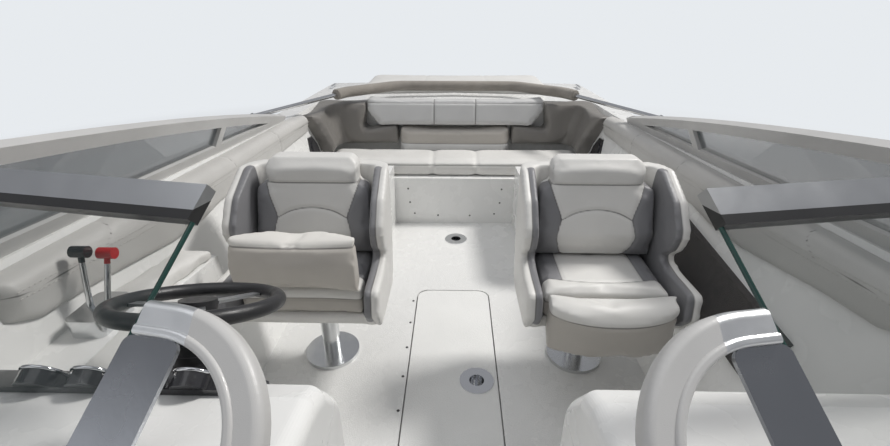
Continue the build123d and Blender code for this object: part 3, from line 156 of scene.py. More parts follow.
# Coaming pads: points of their lower edge, upper edge and long seam, as x and z
COAMING_LOW = [(-2.14, 0.775), (-1.95, 0.780), (-1.35, 0.792), (-0.95, 0.800), (-0.81, 0.790), (-0.61, 0.798),
               (-0.27, 0.850), (-0.10, 0.866), (-0.03, 0.900)]
COAMING_TOP = [(-2.14, 0.888), (-2.00, 0.902), (-1.60, 0.922), (-1.20, 0.942), (-0.80, 0.962), (-0.40, 0.983),
               (-0.03, 1.000)]
COAMING_SEAM = [(-2.14, 0.838), (-1.60, 0.866), (-1.00, 0.888), (-0.45, 0.914), (-0.03, 0.958)]
COAMING_BRANCH = [(-0.305, 0.928), (-0.36, 0.955), (-0.40, 1.0)]
COAMING_JOINTS = (-1.62, -1.12, -0.66)
JOINT_Z = 0.87                  # height at which a joint stands at its x, from where it leans by JOINT_LEAN
JOINT_LEAN = 0.35
COAMING_EDGE = 0.004            # thickness at both edges
COAMING_FLAT = 0.014            # what the lower part adds
COAMING_SWELL = 0.034           # what the upper part adds to that, in full from COAMING_FULL_AT up
COAMING_FULL_AT = 0.625
COAMING_SWELL_POWER = 1.2
COAMING_ROUND_POWER = 6         # the higher, the squarer the pad's edges
COAMING_SKIN = 0.002            # how far the face stands off the wall where an end runs out
COAMING_BACK = 0.001            # how far the back stands off the wall
COAMING_END = 0.03              # length over which an end rounds off
COAMING_STATIONS = 230          # rings along a pad
COAMING_AROUND = 22             # points of a ring's face, and as many of its back
COAMING_GROOVE_DEEP = 0.003
COAMING_GROOVE_WIDE = 0.006
STITCH_X = np.arange(-2.12, -0.05, 0.014)
STITCH_OFF = 0.009
STITCH_PROUD = 0.0006
STITCH_R = 0.0013
STITCH_LONG = 3.2
STITCH_RISE = 0.06              # how much a stitch climbs towards the bow
STITCH_LEAN = 0.25              # how much the pad's skin looks up
WALL_LOW = (0.150, 0.800)       # height and half breadth of the cockpit's wall, below and above
WALL_HIGH = (1.060, 1.050)

# Colours
WHITE_GEL = (0.83, 0.83, 0.815)
SOLE_GEL = (0.70, 0.70, 0.69)
LIGHT_VINYL = (0.70, 0.69, 0.665)
GREY_VINYL = (0.56, 0.56, 0.555)
# The raised helm bolster's two colours are the taupe skirt vinyl painted lighter: painted sunlight, stronger
# on its top than on its skirt
SUNLIT_TAUPE_TOP = (0.74, 0.72, 0.68)
SUNLIT_TAUPE_SKIRT = (0.50, 0.47, 0.43)
TAUPE_VINYL = (0.44, 0.415, 0.38)
CHARCOAL_VINYL = (0.205, 0.205, 0.215)
COAMING_VINYL = (0.56, 0.55, 0.53)
THREAD = (0.60, 0.58, 0.55)
SEAM_SHADOW = (0.10, 0.095, 0.09)
BRIGHT_METAL = (0.72, 0.73, 0.74)

# Sockets of a colour Mix node
MIX_UNDER, MIX_OVER, MIX_RESULT = 6, 7, 2


class Finish:
    """A material's node tree, with short ways to add the textures that the finishes share."""

    def __init__(self, name, colour, roughness, metallic=0.0, coat=0.0, **sockets):
        self.material = bpy.data.materials.new(name)
        self.material.use_nodes = True
        self.tree = self.material.node_tree
        self.surface = self.tree.nodes["Principled BSDF"]
        self.colour = colour
        self.surface.inputs["Base Color"].default_value = (*colour, 1)
        self.surface.inputs["Roughness"].default_value = roughness
        self.surface.inputs["Metallic"].default_value = metallic
        self.surface.inputs["Coat Weight"].default_value = coat
        for socket, value in sockets.items():
            self.surface.inputs[socket.replace("_", " ")].default_value = value
        self.place = self.add("ShaderNodeTexCoord").outputs["Object"]
        self.last_bump = None
        self.paint = None

    def add(self, kind, **values):
        node = self.tree.nodes.new(kind)
        for key, value in values.items():
            setattr(node, key, value)
        return node

    def join(self, source, target):
        self.tree.links.new(source, target)

    def noise(self, scale, detail=2.0, place=None):
        """A noise field with about `scale` waves to the metre."""
        node = self.add("ShaderNodeTexNoise")
        node.inputs["Scale"].default_value = scale
        node.inputs["Detail"].default_value = detail
        self.join(place or self.place, node.inputs["Vector"])
        return node.outputs["Fac"]

    def cells(self, scale):
        """Round cells, about `scale` to the metre."""
        node = self.add("ShaderNodeTexVoronoi")
        node.inputs["Scale"].default_value = scale
        self.join(self.place, node.inputs["Vector"])
        return node.outputs["Distance"]

    def maths(self, operation, first, second=0.0):
        """A Math node; either input may be a socket or a number."""
        node = self.add("ShaderNodeMath", operation=operation)
        for slot, value in zip(node.inputs, (first, second)):
            if isinstance(value, (int, float)):
                slot.default_value = value
            else:
                self.join(value, slot)
        return node.outputs[0]

    def part_of(self, axis, vector=None):
        """One axis of a vector, or of the place in the frame."""
        node = self.add("ShaderNodeSeparateXYZ")
        self.join(vector or self.place, node.inputs[0])
        return node.outputs[axis]

    def distance_from(self, point):
        node = self.add("ShaderNodeVectorMath", operation="DISTANCE")
        self.join(self.place, node.inputs[0])
        node.inputs[1].default_value = point
        return node.outputs["Value"]

    def painted_field(self, name):
        """A signed distance in metres, kept on the mesh's points."""
        return self.add("ShaderNodeAttribute", attribute_name=name).outputs["Fac"]

    def ramp(self, factor, low, high, start=0.0, end=1.0):
        """Maps factor from start..end to low..high, clamped."""
        node = self.add("ShaderNodeMapRange")
        self.join(factor, node.inputs["Value"])
        for key, value in zip(("From Min", "From Max", "To Min", "To Max"), (start, end, low, high)):
            node.inputs[key].default_value = value
        return node.outputs["Result"]

    def within(self, factor, limit, blur):
        """One where factor is under limit and nought beyond it, blended over blur to each side."""
        return self.ramp(factor, 1.0, 0.0, limit - blur, limit + blur)

    def bump(self, height, distance, strength=1.0):
        """Lays one more relief over those before it. distance is its depth in metres."""
        node = self.add("ShaderNodeBump")
        node.inputs["Distance"].default_value = distance
        node.inputs["Strength"].default_value = strength
        self.join(height, node.inputs["Height"])
        if self.last_bump:
            self.join(self.last_bump, node.inputs["Normal"])
        self.last_bump = node.outputs["Normal"]
        self.join(self.last_bump, self.surface.inputs["Normal"])
        return self

    def tint(self, factor, colour):
        """Blends colour over what is painted so far, by factor."""
        node = self.add("ShaderNodeMix", data_type="RGBA")
        self.join(factor, node.inputs["Factor"])
        if self.paint:
            self.join(self.paint, node.inputs[MIX_UNDER])
        else:
            node.inputs[MIX_UNDER].default_value = (*self.colour, 1)
        node.inputs[MIX_OVER].default_value = (*colour, 1)
        self.paint = node.outputs[MIX_RESULT]
        self.join(self.paint, self.surface.inputs["Base Color"])
        return self

    def vary(self, scale, amount):
        """Slow change of tone, as handling and sun leave it."""
        dark = tuple(channel * (1 - amount) for channel in self.colour)
        return self.tint(self.ramp(self.noise(scale, detail=4.0), 0.0, 1.0, start=0.35, end=0.72), dark)

    def rough(self, factor, low, high):
        self.join(self.ramp(factor, low, high, start=0.3, end=0.75), self.surface.inputs["Roughness"])
        return self

    def metal_where(self, factor):
        self.join(factor, self.surface.inputs["Metallic"])
        return self

    def stipple(self, where=None):
        """The fine moulded non-skid pattern, all over or where a factor is one."""
        cells = self.cells(240.0)
        height = self.maths("MULTIPLY", cells, where) if where else cells
        return self.bump(height, distance=0.0012, strength=0.6)


# Finishes
def gelcoat(name):
    finish = Finish(name, WHITE_GEL, roughness=0.24, coat=0.35, Coat_Roughness=0.12)
    finish.vary(scale=2.2, amount=0.05)
    finish.rough(finish.noise(9.0, detail=4.0), low=0.20, high=0.34)
    return finish.bump(finish.noise(14.0), distance=0.0006, strength=0.35)


def liner_gelcoat():
    """Gelcoat, with a moulded stipple on the sole where people stand."""
    finish = gelcoat("liner_gelcoat")
    normal = finish.add("ShaderNodeNewGeometry").outputs["Normal"]
    level = finish.maths("GREATER_THAN", finish.part_of("Z", normal), 0.95)
    low = finish.maths("LESS_THAN", finish.part_of("Z"), SOLE_TOP)
    sole = finish.maths("MULTIPLY", level, low)
    finish.tint(finish.maths("MULTIPLY", sole, 0.55), SOLE_GEL)
    return finish.stipple(sole)


def nonskid():
    finish = Finish("nonskid_gelcoat", (0.78, 0.78, 0.765), roughness=0.46)
    finish.vary(scale=3.0, amount=0.06)
    finish.rough(finish.noise(30.0, detail=3.0), low=0.38, high=0.58)
    return finish.stipple()


def vinyl(name, colour, worn=0.10):
    """Soft marine vinyl: fine pebble grain, faint creases, a satin sheen."""
    finish = Finish(name, colour, roughness=0.42, Sheen_Weight=0.08)
    finish.vary(scale=5.0, amount=worn)
    finish.rough(finish.noise(22.0, detail=3.0), low=0.36, high=0.52)
    finish.bump(finish.cells(620.0), distance=0.0005, strength=0.45)
    finish.bump(finish.noise(900.0, detail=1.0), distance=0.0002, strength=0.3)
    return finish.bump(finish.noise(16.0, detail=4.0), distance=0.004, strength=0.22)


def sewn_vinyl(name, colour, panels=()):
    """Vinyl in several panels. panels lists (field, colour): a panel lies where its field is over zero.

    The field called seam holds each point's distance from the nearest seam.
    """
    finish = vinyl(name, colour, worn=0.08)
    for field, panel_colour in panels:
        inside = finish.ramp(finish.painted_field(field), 0.0, 1.0, start=-0.0008, end=0.0008)
        finish.tint(inside, panel_colour)
        shade = tuple(channel * 0.93 for channel in panel_colour)
        blotch = finish.ramp(finish.noise(6.0, detail=4.0), 0.0, 1.0, start=0.4, end=0.7)
        finish.tint(finish.maths("MULTIPLY", inside, blotch), shade)
    seam = finish.painted_field("seam")
    return finish.tint(finish.ramp(seam, 0.75, 0.0, start=0.0012, end=0.0035), SEAM_SHADOW)


def metal(name, colour, roughness, scratch=0.0, brush=None):
    """Bright metal; brush gives the waves to the metre of a brushed grain along each axis."""
    finish = Finish(name, colour, roughness, metallic=1.0)
    finish.rough(finish.noise(14.0, detail=3.0), max(roughness - 0.04, 0.02), roughness + 0.06)
    if brush:
        stretched = finish.add("ShaderNodeMapping")
        stretched.inputs["Scale"].default_value = brush
        finish.join(finish.place, stretched.inputs["Vector"])
        grain = finish.noise(1.0, detail=3.0, place=stretched.outputs["Vector"])
        finish.bump(grain, distance=0.0003, strength=0.25)
    if scratch:
        finish.bump(finish.noise(18.0, detail=3.0), distance=0.0006, strength=scratch)
    return finish


def coated_frame(name):
    finish = Finish(name, (0.53, 0.525, 0.515), roughness=0.36, coat=0.15)
    finish.vary(scale=6.0, amount=0.08)
    finish.rough(finish.noise(25.0, detail=3.0), low=0.32, high=0.48)
    return finish.bump(finish.cells(900.0), distance=0.0003, strength=0.3)


def hoop_finish():
    """Grey coat, with polished metal where a hoop's end runs over its stay."""
    finish = coated_frame("hoop_coat")
    cap = finish.maths("GREATER_THAN", finish.maths("ABSOLUTE", finish.part_of("Y")), HOOP_CAP_Y)
    finish.tint(cap, BRIGHT_METAL)
    return finish.metal_where(cap)


def header_finish():
    """Satin aluminium with a black gasket along its lower edge."""
    finish = metal("header_rail", (0.50, 0.51, 0.525), roughness=0.34, brush=(6.0, 260.0, 260.0))
    gasket = finish.maths("LESS_THAN", finish.part_of("Z"), HEADER_TOP - HEADER_BARE)
    finish.tint(gasket, (0.02, 0.02, 0.021))
    return finish.metal_where(finish.maths("SUBTRACT", 1.0, gasket))


def tinted_glass(name, colour, solid):
    """A thin pane: the tint covers `solid` of what is behind it, and the skin stays glossy."""
    finish = Finish(name, colour, roughness=0.03, coat=0.6, Alpha=solid, Specular_IOR_Level=0.9)
    finish.material.blend_method = "BLEND"
    return finish


def dark_gloss():
    finish = Finish("dash_gloss", (0.028, 0.028, 0.032), roughness=0.12, coat=0.6)
    finish.vary(scale=7.0, amount=0.3)
    finish.rough(finish.noise(30.0, detail=5.0), low=0.08, high=0.26)
    return finish.bump(finish.noise(20.0), distance=0.0006, strength=0.3)


def black_rubber():
    finish = Finish("black_rubber", (0.022, 0.022, 0.024), roughness=0.40)
    finish.vary(scale=30.0, amount=0.3)
    finish.rough(finish.noise(60.0, detail=4.0), low=0.30, high=0.55)
    return finish.bump(finish.cells(700.0), distance=0.0006, strength=0.5)


def rail_rubber():
    finish = Finish("rail_rubber", (0.10, 0.10, 0.105), roughness=0.45)
    finish.vary(scale=8.0, amount=0.2)
    return finish.bump(finish.noise(120.0, detail=4.0), distance=0.0005, strength=0.4)


def canvas():
    """Cloth with a plain weave, from waves across each other."""
    finish = Finish("taupe_canvas", (0.29, 0.265, 0.235), roughness=0.85, Sheen_Weight=0.25)
    finish.vary(scale=9.0, amount=0.22)
    strands = []
    for direction in ("X", "Y", "Z"):
        wave = finish.add("ShaderNodeTexWave", bands_direction=direction)
        wave.inputs["Scale"].default_value = 190.0
        wave.inputs["Distortion"].default_value = 0.6
        finish.join(finish.place, wave.inputs["Vector"])
        strands.append(wave.outputs["Fac"])
    weave = finish.maths("MULTIPLY", finish.maths("MAXIMUM", strands[0], strands[1]), strands[2])
    return finish.bump(weave, distance=0.0008, strength=0.6)


def carpet():
    finish = Finish("pocket_carpet", (0.032, 0.026, 0.023), roughness=0.95, Sheen_Weight=0.3)
    finish.vary(scale=40.0, amount=0.5)
    return finish.bump(finish.noise(480.0, detail=5.0), distance=0.003, strength=0.9)


def cast_paint(name, colour, roughness):
    """Paint over a casting, with its faint roughness."""
    finish = Finish(name, colour, roughness, coat=0.2)
    finish.vary(scale=10.0, amount=0.25)
    finish.rough(finish.noise(24.0, detail=4.0), roughness - 0.1, roughness + 0.12)
    return finish.bump(finish.noise(110.0, detail=4.0), distance=0.0005, strength=0.35)


def throttle_finish():
    """Bright levers with one black and one red grip."""
    finish = Finish("throttle_levers", BRIGHT_METAL, roughness=0.14, metallic=1.0)
    grips = []
    for centre, colour in THROTTLE_GRIPS:
        grips.append(finish.maths("LESS_THAN", finish.distance_from(centre), GRIP_REACH))
        finish.tint(grips[-1], colour)
    finish.metal_where(finish.maths("SUBTRACT", 1.0, finish.maths("MAXIMUM", *grips)))
    finish.rough(finish.noise(30.0, detail=3.0), low=0.10, high=0.24)
    return finish.bump(finish.noise(18.0, detail=3.0), distance=0.0005, strength=0.1)


def wheel_finish():
    """Black grip on the rim and hub, satin metal on the spokes between them."""
    finish = Finish("wheel_rim_and_spokes", (0.022, 0.022, 0.024), roughness=0.42)
    out = finish.distance_from(WHEEL_AT)
    spoke = finish.within(out, SPOKE_END, blur=0.001)
    hub = finish.within(out, HUB_R, blur=0.0005)
    bright = finish.maths("SUBTRACT", spoke, hub)
    finish.tint(bright, (0.60, 0.61, 0.62))
    finish.metal_where(bright)
    finish.rough(finish.noise(40.0, detail=3.0), low=0.30, high=0.48)
    return finish.bump(finish.cells(520.0), distance=0.0005, strength=0.35)


STAINLESS = metal("polished_stainless", (0.74, 0.75, 0.77), 0.10, scratch=0.12)
# The CAD nodes that stay: finish, nodes
KEPT = (
    (gelcoat("white_gelcoat"), (
        "hull_stern", "hull_bottom", "hull_sides", "hull_bow", "deck", "helm_console", "port_console",
        "glovebox_lid", "side_boxes", "engine_hatch", "anchor_locker_lid")),
    (liner_gelcoat(), ("cockpit_liner", "bow_liner")),
    (nonskid(), ("swim_platform", "locker_hatch")),
    (rail_rubber(), ("rub_rail",)),
    (dark_gloss(), ("dash_panel", "speakers", "gauges")),
    (black_rubber(), ("steering_column",)),
    (wheel_finish(), ("steering_wheel",)),
    # the stay plates are polished metal with their colour darkened: a painted dark reflection
    (metal("stay_steel_painted_dark_reflection", (0.30, 0.31, 0.33), 0.24, brush=(8.0, 180.0, 180.0)), ("stay_plates",)),
    (metal("pedestal_steel", (0.66, 0.67, 0.68), 0.22, scratch=0.1), ("helm_pedestal", "companion_pedestal")),
    (STAINLESS, ("bimini_frame", "table_socket_aft", "table_socket_fwd", "bow_rails", "deck_fittings")),
    (tinted_glass("pane_glass", (0.03, 0.055, 0.05), solid=0.13), ("windshield_panes",)),
    (tinted_glass("smoked_wing_glass", (0.05, 0.07, 0.08), solid=0.52), ("wing_glass",)),
    (header_finish(), ("header_rails",)),
    (throttle_finish(), ("throttle",)),
    (hoop_finish(), ("walkway_hoops",)),
    (coated_frame("frame_coat"), ("pane_foot_rails", "wing_frames")),
    (cast_paint("engine_paint", (0.055, 0.058, 0.065), 0.5), ("engine",)),
    (cast_paint("drive_paint", (0.05, 0.052, 0.058), 0.35), ("drive_bracket", "gimbal_ring", "drive_leg")),
    (metal("propeller_steel", (0.62, 0.62, 0.63), 0.18, scratch=0.2), ("propeller",)),
    (carpet(), ("side_pocket",)),
)


def coat_node(node, finish):
    """Gives a CAD node that stays its finish, on flat faces, so that its edges stay crisp."""
    mesh = NODES[node].data
    if not len(mesh.materials):
        mesh.materials.append(finish.material)
    for index in range(len(mesh.materials)):
        mesh.materials[index] = finish.material
    mesh.polygons.foreach_set("use_smooth", [False] * len(mesh.polygons))


# Mesh helpers
def put(name, data):
    """A new object at the frame's origin."""
    piece = bpy.data.objects.new(name, data)
    bpy.context.collection.objects.link(piece)
    return piece


def cover(mesh, finish):
    mesh.materials.clear()
    mesh.materials.append(finish.material)


def points_of(mesh):
    flat = np.empty(len(mesh.vertices) * 3)
    mesh.vertices.foreach_get("co", flat)
    return flat.reshape(-1, 3)


def set_points(mesh, points):
    mesh.vertices.foreach_set("co", np.ascontiguousarray(points).ravel())
    mesh.update()


def normals_of(mesh):
    flat = np.empty(len(mesh.vertices) * 3)
    mesh.vertex_normals.foreach_get("vector", flat)
    return flat.reshape(-1, 3)


def baked(piece):
    """The piece's mesh with its modifiers applied, which are then removed."""
    graph = bpy.context.evaluated_depsgraph_get()
    graph.update()
    mesh = bpy.data.meshes.new_from_object(piece.evaluated_get(graph))
    piece.modifiers.clear()
    piece.data = mesh
    return mesh


def store_field(mesh, name, values):
    field = mesh.attributes.new(name, "FLOAT", "POINT")
    field.data.foreach_set("value", np.asarray(values, dtype=np.float32))


def smooth_faces(mesh):
    mesh.polygons.foreach_set("use_smooth", [True] * len(mesh.polygons))
    mesh.update()


def press_seams(mesh, away, deep, wide):
    """Presses a groove where the points' distance from a seam, away, is small, and keeps it for the vinyl."""
    press = deep * np.exp(-(away / wide) ** 2)
    set_points(mesh, points_of(mesh) - normals_of(mesh) * press[:, None])
    store_field(mesh, "seam", away)


# Lines that seams follow
def line_distance(across, along, route):
    """Distance of points (across, along) from a polyline in the same plane."""
    best = np.full(len(across), FAR_OFF)
    for (a0, b0), (a1, b1) in zip(route, route[1:]):
        da, db = a1 - a0, b1 - b0
        t = np.clip(((across - a0) * da + (along - b0) * db) / max(da * da + db * db, 1e-12), 0, 1)
        best = np.minimum(best, np.hypot(across - a0 - t * da, along - b0 - t * db))
    return best


def between(p, q, r, s, t):
    """The value at a share t of the way from q to r, on a smooth line from p to s (Catmull-Rom)."""
    square = (2 * p - 5 * q + 4 * r - s) * t * t
    cube = (3 * q - p - 3 * r + s) * t ** 3
    return 0.5 * (2 * q + (r - p) * t + square + cube)


def smooth_curve(points, steps=10):
    """A smooth line through points in a plane."""
    padded = [points[0], *points, points[-1]]
    line = []
    for a, b, c, d in zip(padded, padded[1:], padded[2:], padded[3:]):
        for index in range(steps):
            line.append(tuple(between(*axis, index / steps) for axis in zip(a, b, c, d)))
    return [*line, tuple(points[-1])]


def height_at(x, route):
    """Height of a line in side view, given as points of x and z."""
    return np.interp(x, [point[0] for point in route], [point[1] for point in route])


# Stage, light and camera
def make_floor():
    """A pale floor at the waterline, open inside the hull so that no locker is cut by it."""
    grid_x = (-FLOOR_REACH, *WELL_X, FLOOR_REACH)
    grid_y = (-FLOOR_REACH, -WELL_HALF, WELL_HALF, FLOOR_REACH)
    points = [(x, y, 0.0) for y in grid_y for x in grid_x]
    faces = []
    for row in range(3):
        for column in range(3):
            if (row, column) != (1, 1):
                corner = row * 4 + column
                faces.append((corner, corner + 1, corner + 5, corner + 4))
    mesh = bpy.data.meshes.new("floor")
    mesh.from_pydata(points, [], faces)
    floor = put("floor", mesh)
    finish = Finish("pale_floor", (FLOOR_WHITE,) * 3, roughness=0.9)
    finish.vary(scale=0.6, amount=0.015)
    near, far = FLOOR_FADE
    fade = finish.ramp(finish.distance_from((0.0, 0.0, 0.0)), 0.0, 1.0, start=near, end=far)
    seen = finish.maths("MULTIPLY", fade, finish.add("ShaderNodeLightPath").outputs["Is Camera Ray"])
    glow = finish.add("ShaderNodeEmission")
    glow.inputs["Color"].default_value = (*SKY_SEEN, 1)
    mix = finish.add("ShaderNodeMixShader")
    finish.join(seen, mix.inputs["Fac"])
    finish.join(finish.surface.outputs[0], mix.inputs[1])
    finish.join(glow.outputs[0], mix.inputs[2])
    finish.join(mix.outputs[0], finish.tree.nodes["Material Output"].inputs["Surface"])
    mesh.materials.append(finish.material)


def make_world():
    """Pale sky for the eye and through glass, and gentle light for the rest."""
    world = bpy.data.worlds.new("studio")
    bpy.context.scene.world = world
    world.use_nodes = True
    tree = world.node_tree
    light = tree.nodes["Background"]
    light.inputs["Color"].default_value = (*SKY_LIGHT, 1)
    light.inputs["Strength"].default_value = SKY_STRENGTH
    seen = tree.nodes.new("ShaderNodeBackground")
    seen.inputs["Color"].default_value = (*SKY_SEEN, 1)
    seen.inputs["Strength"].default_value = 1.0
    rays = tree.nodes.new("ShaderNodeLightPath")
    either = tree.nodes.new("ShaderNodeMath")
    either.operation = "MAXIMUM"
    mix = tree.nodes.new("ShaderNodeMixShader")
    tree.links.new(rays.outputs["Is Camera Ray"], either.inputs[0])
    tree.links.new(rays.outputs["Is Transmission Ray"], either.inputs[1])
    tree.links.new(either.outputs[0], mix.inputs["Fac"])
    tree.links.new(light.outputs[0], mix.inputs[1])
    tree.links.new(seen.outputs[0], mix.inputs[2])
    tree.links.new(mix.outputs[0], tree.nodes["World Output"].inputs["Surface"])


def add_light(name, place, aim, size, watts, colour):
    lamp = bpy.data.lights.new(name, "AREA")
    lamp.shape = "RECTANGLE"
    lamp.size, lamp.size_y = size
    lamp.energy = watts
    lamp.color = colour
    holder = put(name, lamp)
    holder.location = place
    holder.rotation_euler = (Vector(aim) - Vector(place)).to_track_quat("-Z", "Y").to_euler()


def make_camera():
    """Where the photograph was taken: over the bow walkway, looking aft and down."""
    aft = Vector((-1, 0, 0))
    port = Vector((0, 1, 0))
    ahead = aft * math.cos(CAMERA_TURN) - port * math.sin(CAMERA_TURN)
    right = port * math.cos(CAMERA_TURN) + aft * math.sin(CAMERA_TURN)
    look = ahead * math.cos(CAMERA_DIP) - Vector((0, 0, 1)) * math.sin(CAMERA_DIP)
    up = right.cross(look)
    optics = bpy.data.cameras.new("camera")
    optics.sensor_width = SENSOR
    optics.lens = FOCAL_PIXELS / PHOTO_WIDE * SENSOR
    optics.clip_end = CLIP_END
    camera = put("camera", optics)
    camera.matrix_world = Matrix.Translation(CAMERA_AT) @ Matrix((right, up, -look)).transposed().to_4x4()
    bpy.context.scene.camera = camera


# Padding: each pad starts as its CAD solid, a little smaller, and is blown up as cloth
# voxel is the size of its mesh, shrink how far it starts inside the solid, rounds how often it is smoothed,
# cap how far a point may swell, seams where it is sewn, and panels the fields of its colour panels.
Pad = namedtuple("Pad", "node body finish voxel shrink rounds cap seams panels",
                 defaults=(FOAM_VOXEL, FOAM_SHRINK, FOAM_ROUNDS, FOAM_CAP, None, {}))


def start_pad(pad):
    """Copies the CAD pad's solids into one closed, evenly meshed foam shape."""
    mesh = NODES[pad.node].data.copy()
    mesh.materials.clear()
    work = bmesh.new()
    work.from_mesh(mesh)
    bmesh.ops.remove_doubles(work, verts=work.verts, dist=WELD)
    work.to_mesh(mesh)
    work.free()
    piece = put(f"{pad.node}_pad", mesh)
    remesh = piece.modifiers.new("even", "REMESH")
    remesh.mode = "VOXEL"
    remesh.voxel_size = pad.voxel
    baked(piece)
    relax = piece.modifiers.new("relax", "SMOOTH")
    relax.iterations = pad.rounds
    relax.factor = 0.5
    mesh = baked(piece)
    set_points(mesh, points_of(mesh) - normals_of(mesh) * pad.shrink)
    return piece


def add_foam(piece):
    """Light, springy cloth with pressure inside it and no weight."""
    cloth = piece.modifiers.new("foam", "CLOTH")
    cloth.settings.quality = 4
    cloth.settings.mass = 0.4
    cloth.settings.tension_stiffness = 22
    cloth.settings.compression_stiffness = 22
    cloth.settings.bending_stiffness = 2.0
    cloth.settings.use_pressure = True
    cloth.settings.uniform_pressure_force = FOAM_PRESSURE
    cloth.settings.effector_weights.gravity = 0.0
    cloth.point_cache.frame_start = 1
    cloth.point_cache.frame_end = FOAM_STEPS


def blow_up(pieces):
    """Runs the cloth of all pads side by side, within each pad's cap. pieces lists (piece, pad)."""
    scene = bpy.context.scene
    starts = [points_of(piece.data) for piece, _ in pieces]
    for piece, _ in pieces:
        add_foam(piece)
    for step in range(1, FOAM_STEPS + 1):
        scene.frame_set(step)
    for start, (piece, pad) in zip(starts, pieces):
        mesh = baked(piece)
        moved = points_of(mesh) - start
        far = np.linalg.norm(moved, axis=1, keepdims=True)
        moved *= np.minimum(1.0, pad.cap / np.maximum(far, 1e-9))
        set_points(mesh, start + moved)
    scene.frame_set(1)


def finish_pad(piece, pad):
    """Subdivides a pad, presses its seams in and hands it to the frame."""
    finer = piece.modifiers.new("finer", "SUBSURF")
    finer.levels = 1
    finer.render_levels = 1
    mesh = baked(piece)
    points = points_of(mesh)
    if pad.seams:
        press_seams(mesh, pad.seams(points), GROOVE_DEEP, GROOVE_WIDE)
    for name, field in pad.panels.items():
        store_field(mesh, name, field(points))
    smooth_faces(mesh)
    cover(mesh, pad.finish)
    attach(piece, pad.body)
    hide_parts(pad.node)


# Seams give each point's distance from the nearest one. Panels are over zero inside.
# Both take points as rows of x, y and z, and a seat's are read from its own centre line.
def least(*fields):
    return np.minimum.reduce(fields)


def level_seam(p, height, ahead_of):
    """A seam at one height, on the faces ahead of an x."""
    return np.where(p[:, 0] > ahead_of, np.abs(p[:, 2] - height), FAR_OFF)


def back_half(height):
    """Half width of a seat back's middle panel."""
    return np.interp(height, [row[0] for row in BACK_PANEL], [row[1] for row in BACK_PANEL])


def back_outline():
    """The middle panel's edge, as half widths and heights."""
    heights = np.linspace(*BACK_PANEL_SEWN)
    return [(float(half), float(height)) for half, height in zip(back_half(heights), heights)]


def shell_lining(p):
    return least(WING_INSIDE - np.abs(p[:, 1]), p[:, 0] - LINING_X, p[:, 2] - LINING_Z)


def shell_seams(p):
    side = np.abs(p[:, 1])
    rim = np.hypot(side - WING_INSIDE, np.minimum(p[:, 0] - LINING_X, 0))
    skirt = level_seam(p, SHELL_SKIRT_Z, SHELL_SKIRT_X)
    return np.minimum(rim, np.where(side > WING_OUTSIDE, skirt, FAR_OFF))


def back_lining(p):
    return least(np.abs(p[:, 1]) - back_half(p[:, 2]), LINING_TOP - p[:, 2], p[:, 0] - LINING_X)


def back_seams(p):
    side = np.abs(p[:, 1])
    head = line_distance(p[:, 0], p[:, 2], HEAD_SIDE)
    away = least(
        line_distance(side, p[:, 2], back_outline()),
        line_distance(p[:, 1], p[:, 2], smooth_curve(BACK_ARCH)),
        line_distance(p[:, 1], p[:, 2], HEAD_SEAM),
        np.where(side > HEAD_SIDE_Y, head, FAR_OFF))
    return np.where(p[:, 0] > BACK_FACE_X, away, FAR_OFF)


def cushion_band(p):
    """Where the cushion's front band starts, across its width."""
    return BAND_X - BAND_BOW * (np.abs(p[:, 1]) / CUSHION_HALF) ** 2


def cushion_lining(p):
    return least(np.abs(p[:, 1]) - CUSHION_PANEL, cushion_band(p) - p[:, 0], p[:, 2] - CUSHION_TOP)


def cushion_skirt(p):
    return least(CUSHION_WELT_Z - p[:, 2], p[:, 0] - CUSHION_WELT_X)


def cushion_seams(p):
    ahead = p[:, 0] - cushion_band(p)
    panel = np.hypot(np.abs(p[:, 1]) - CUSHION_PANEL, np.maximum(ahead, 0))
    top = np.where(p[:, 2] > CUSHION_TOP, np.minimum(np.abs(ahead), panel), FAR_OFF)
    return np.minimum(top, level_seam(p, CUSHION_WELT_Z, CUSHION_WELT_X))


def raised_skirt(p):
    return least(p[:, 0] - RAISED_SKIRT_X, RAISED_SKIRT_Z - p[:, 2])


def lowered_skirt(p):
    x, z = LOWERED_WELT
    return z - LOWERED_FALL * (p[:, 0] - x) - p[:, 2]


# over zero in the band of painted shade along the lower back's foot
def lower_shaded_band(p):
    return SHADED_BAND_Z - p[:, 2]


def upper_back_seams(p):
    """The gaps between the three upper cushions, and the welt along their tops."""
    gaps = np.abs(np.abs(p[:, 1]) - UPPER_GAP_Y) - UPPER_GAP_HALF
    return np.minimum(np.maximum(gaps, 0), level_seam(p, UPPER_WELT_Z, UPPER_WELT_X))


def sewn_top(p, top, seam_y, welt):
    """A lengthwise seam on each side of the top, and a welt round the sides under it."""
    return np.where(p[:, 2] > top, np.abs(np.abs(p[:, 1]) - seam_y), np.abs(p[:, 2] - welt))


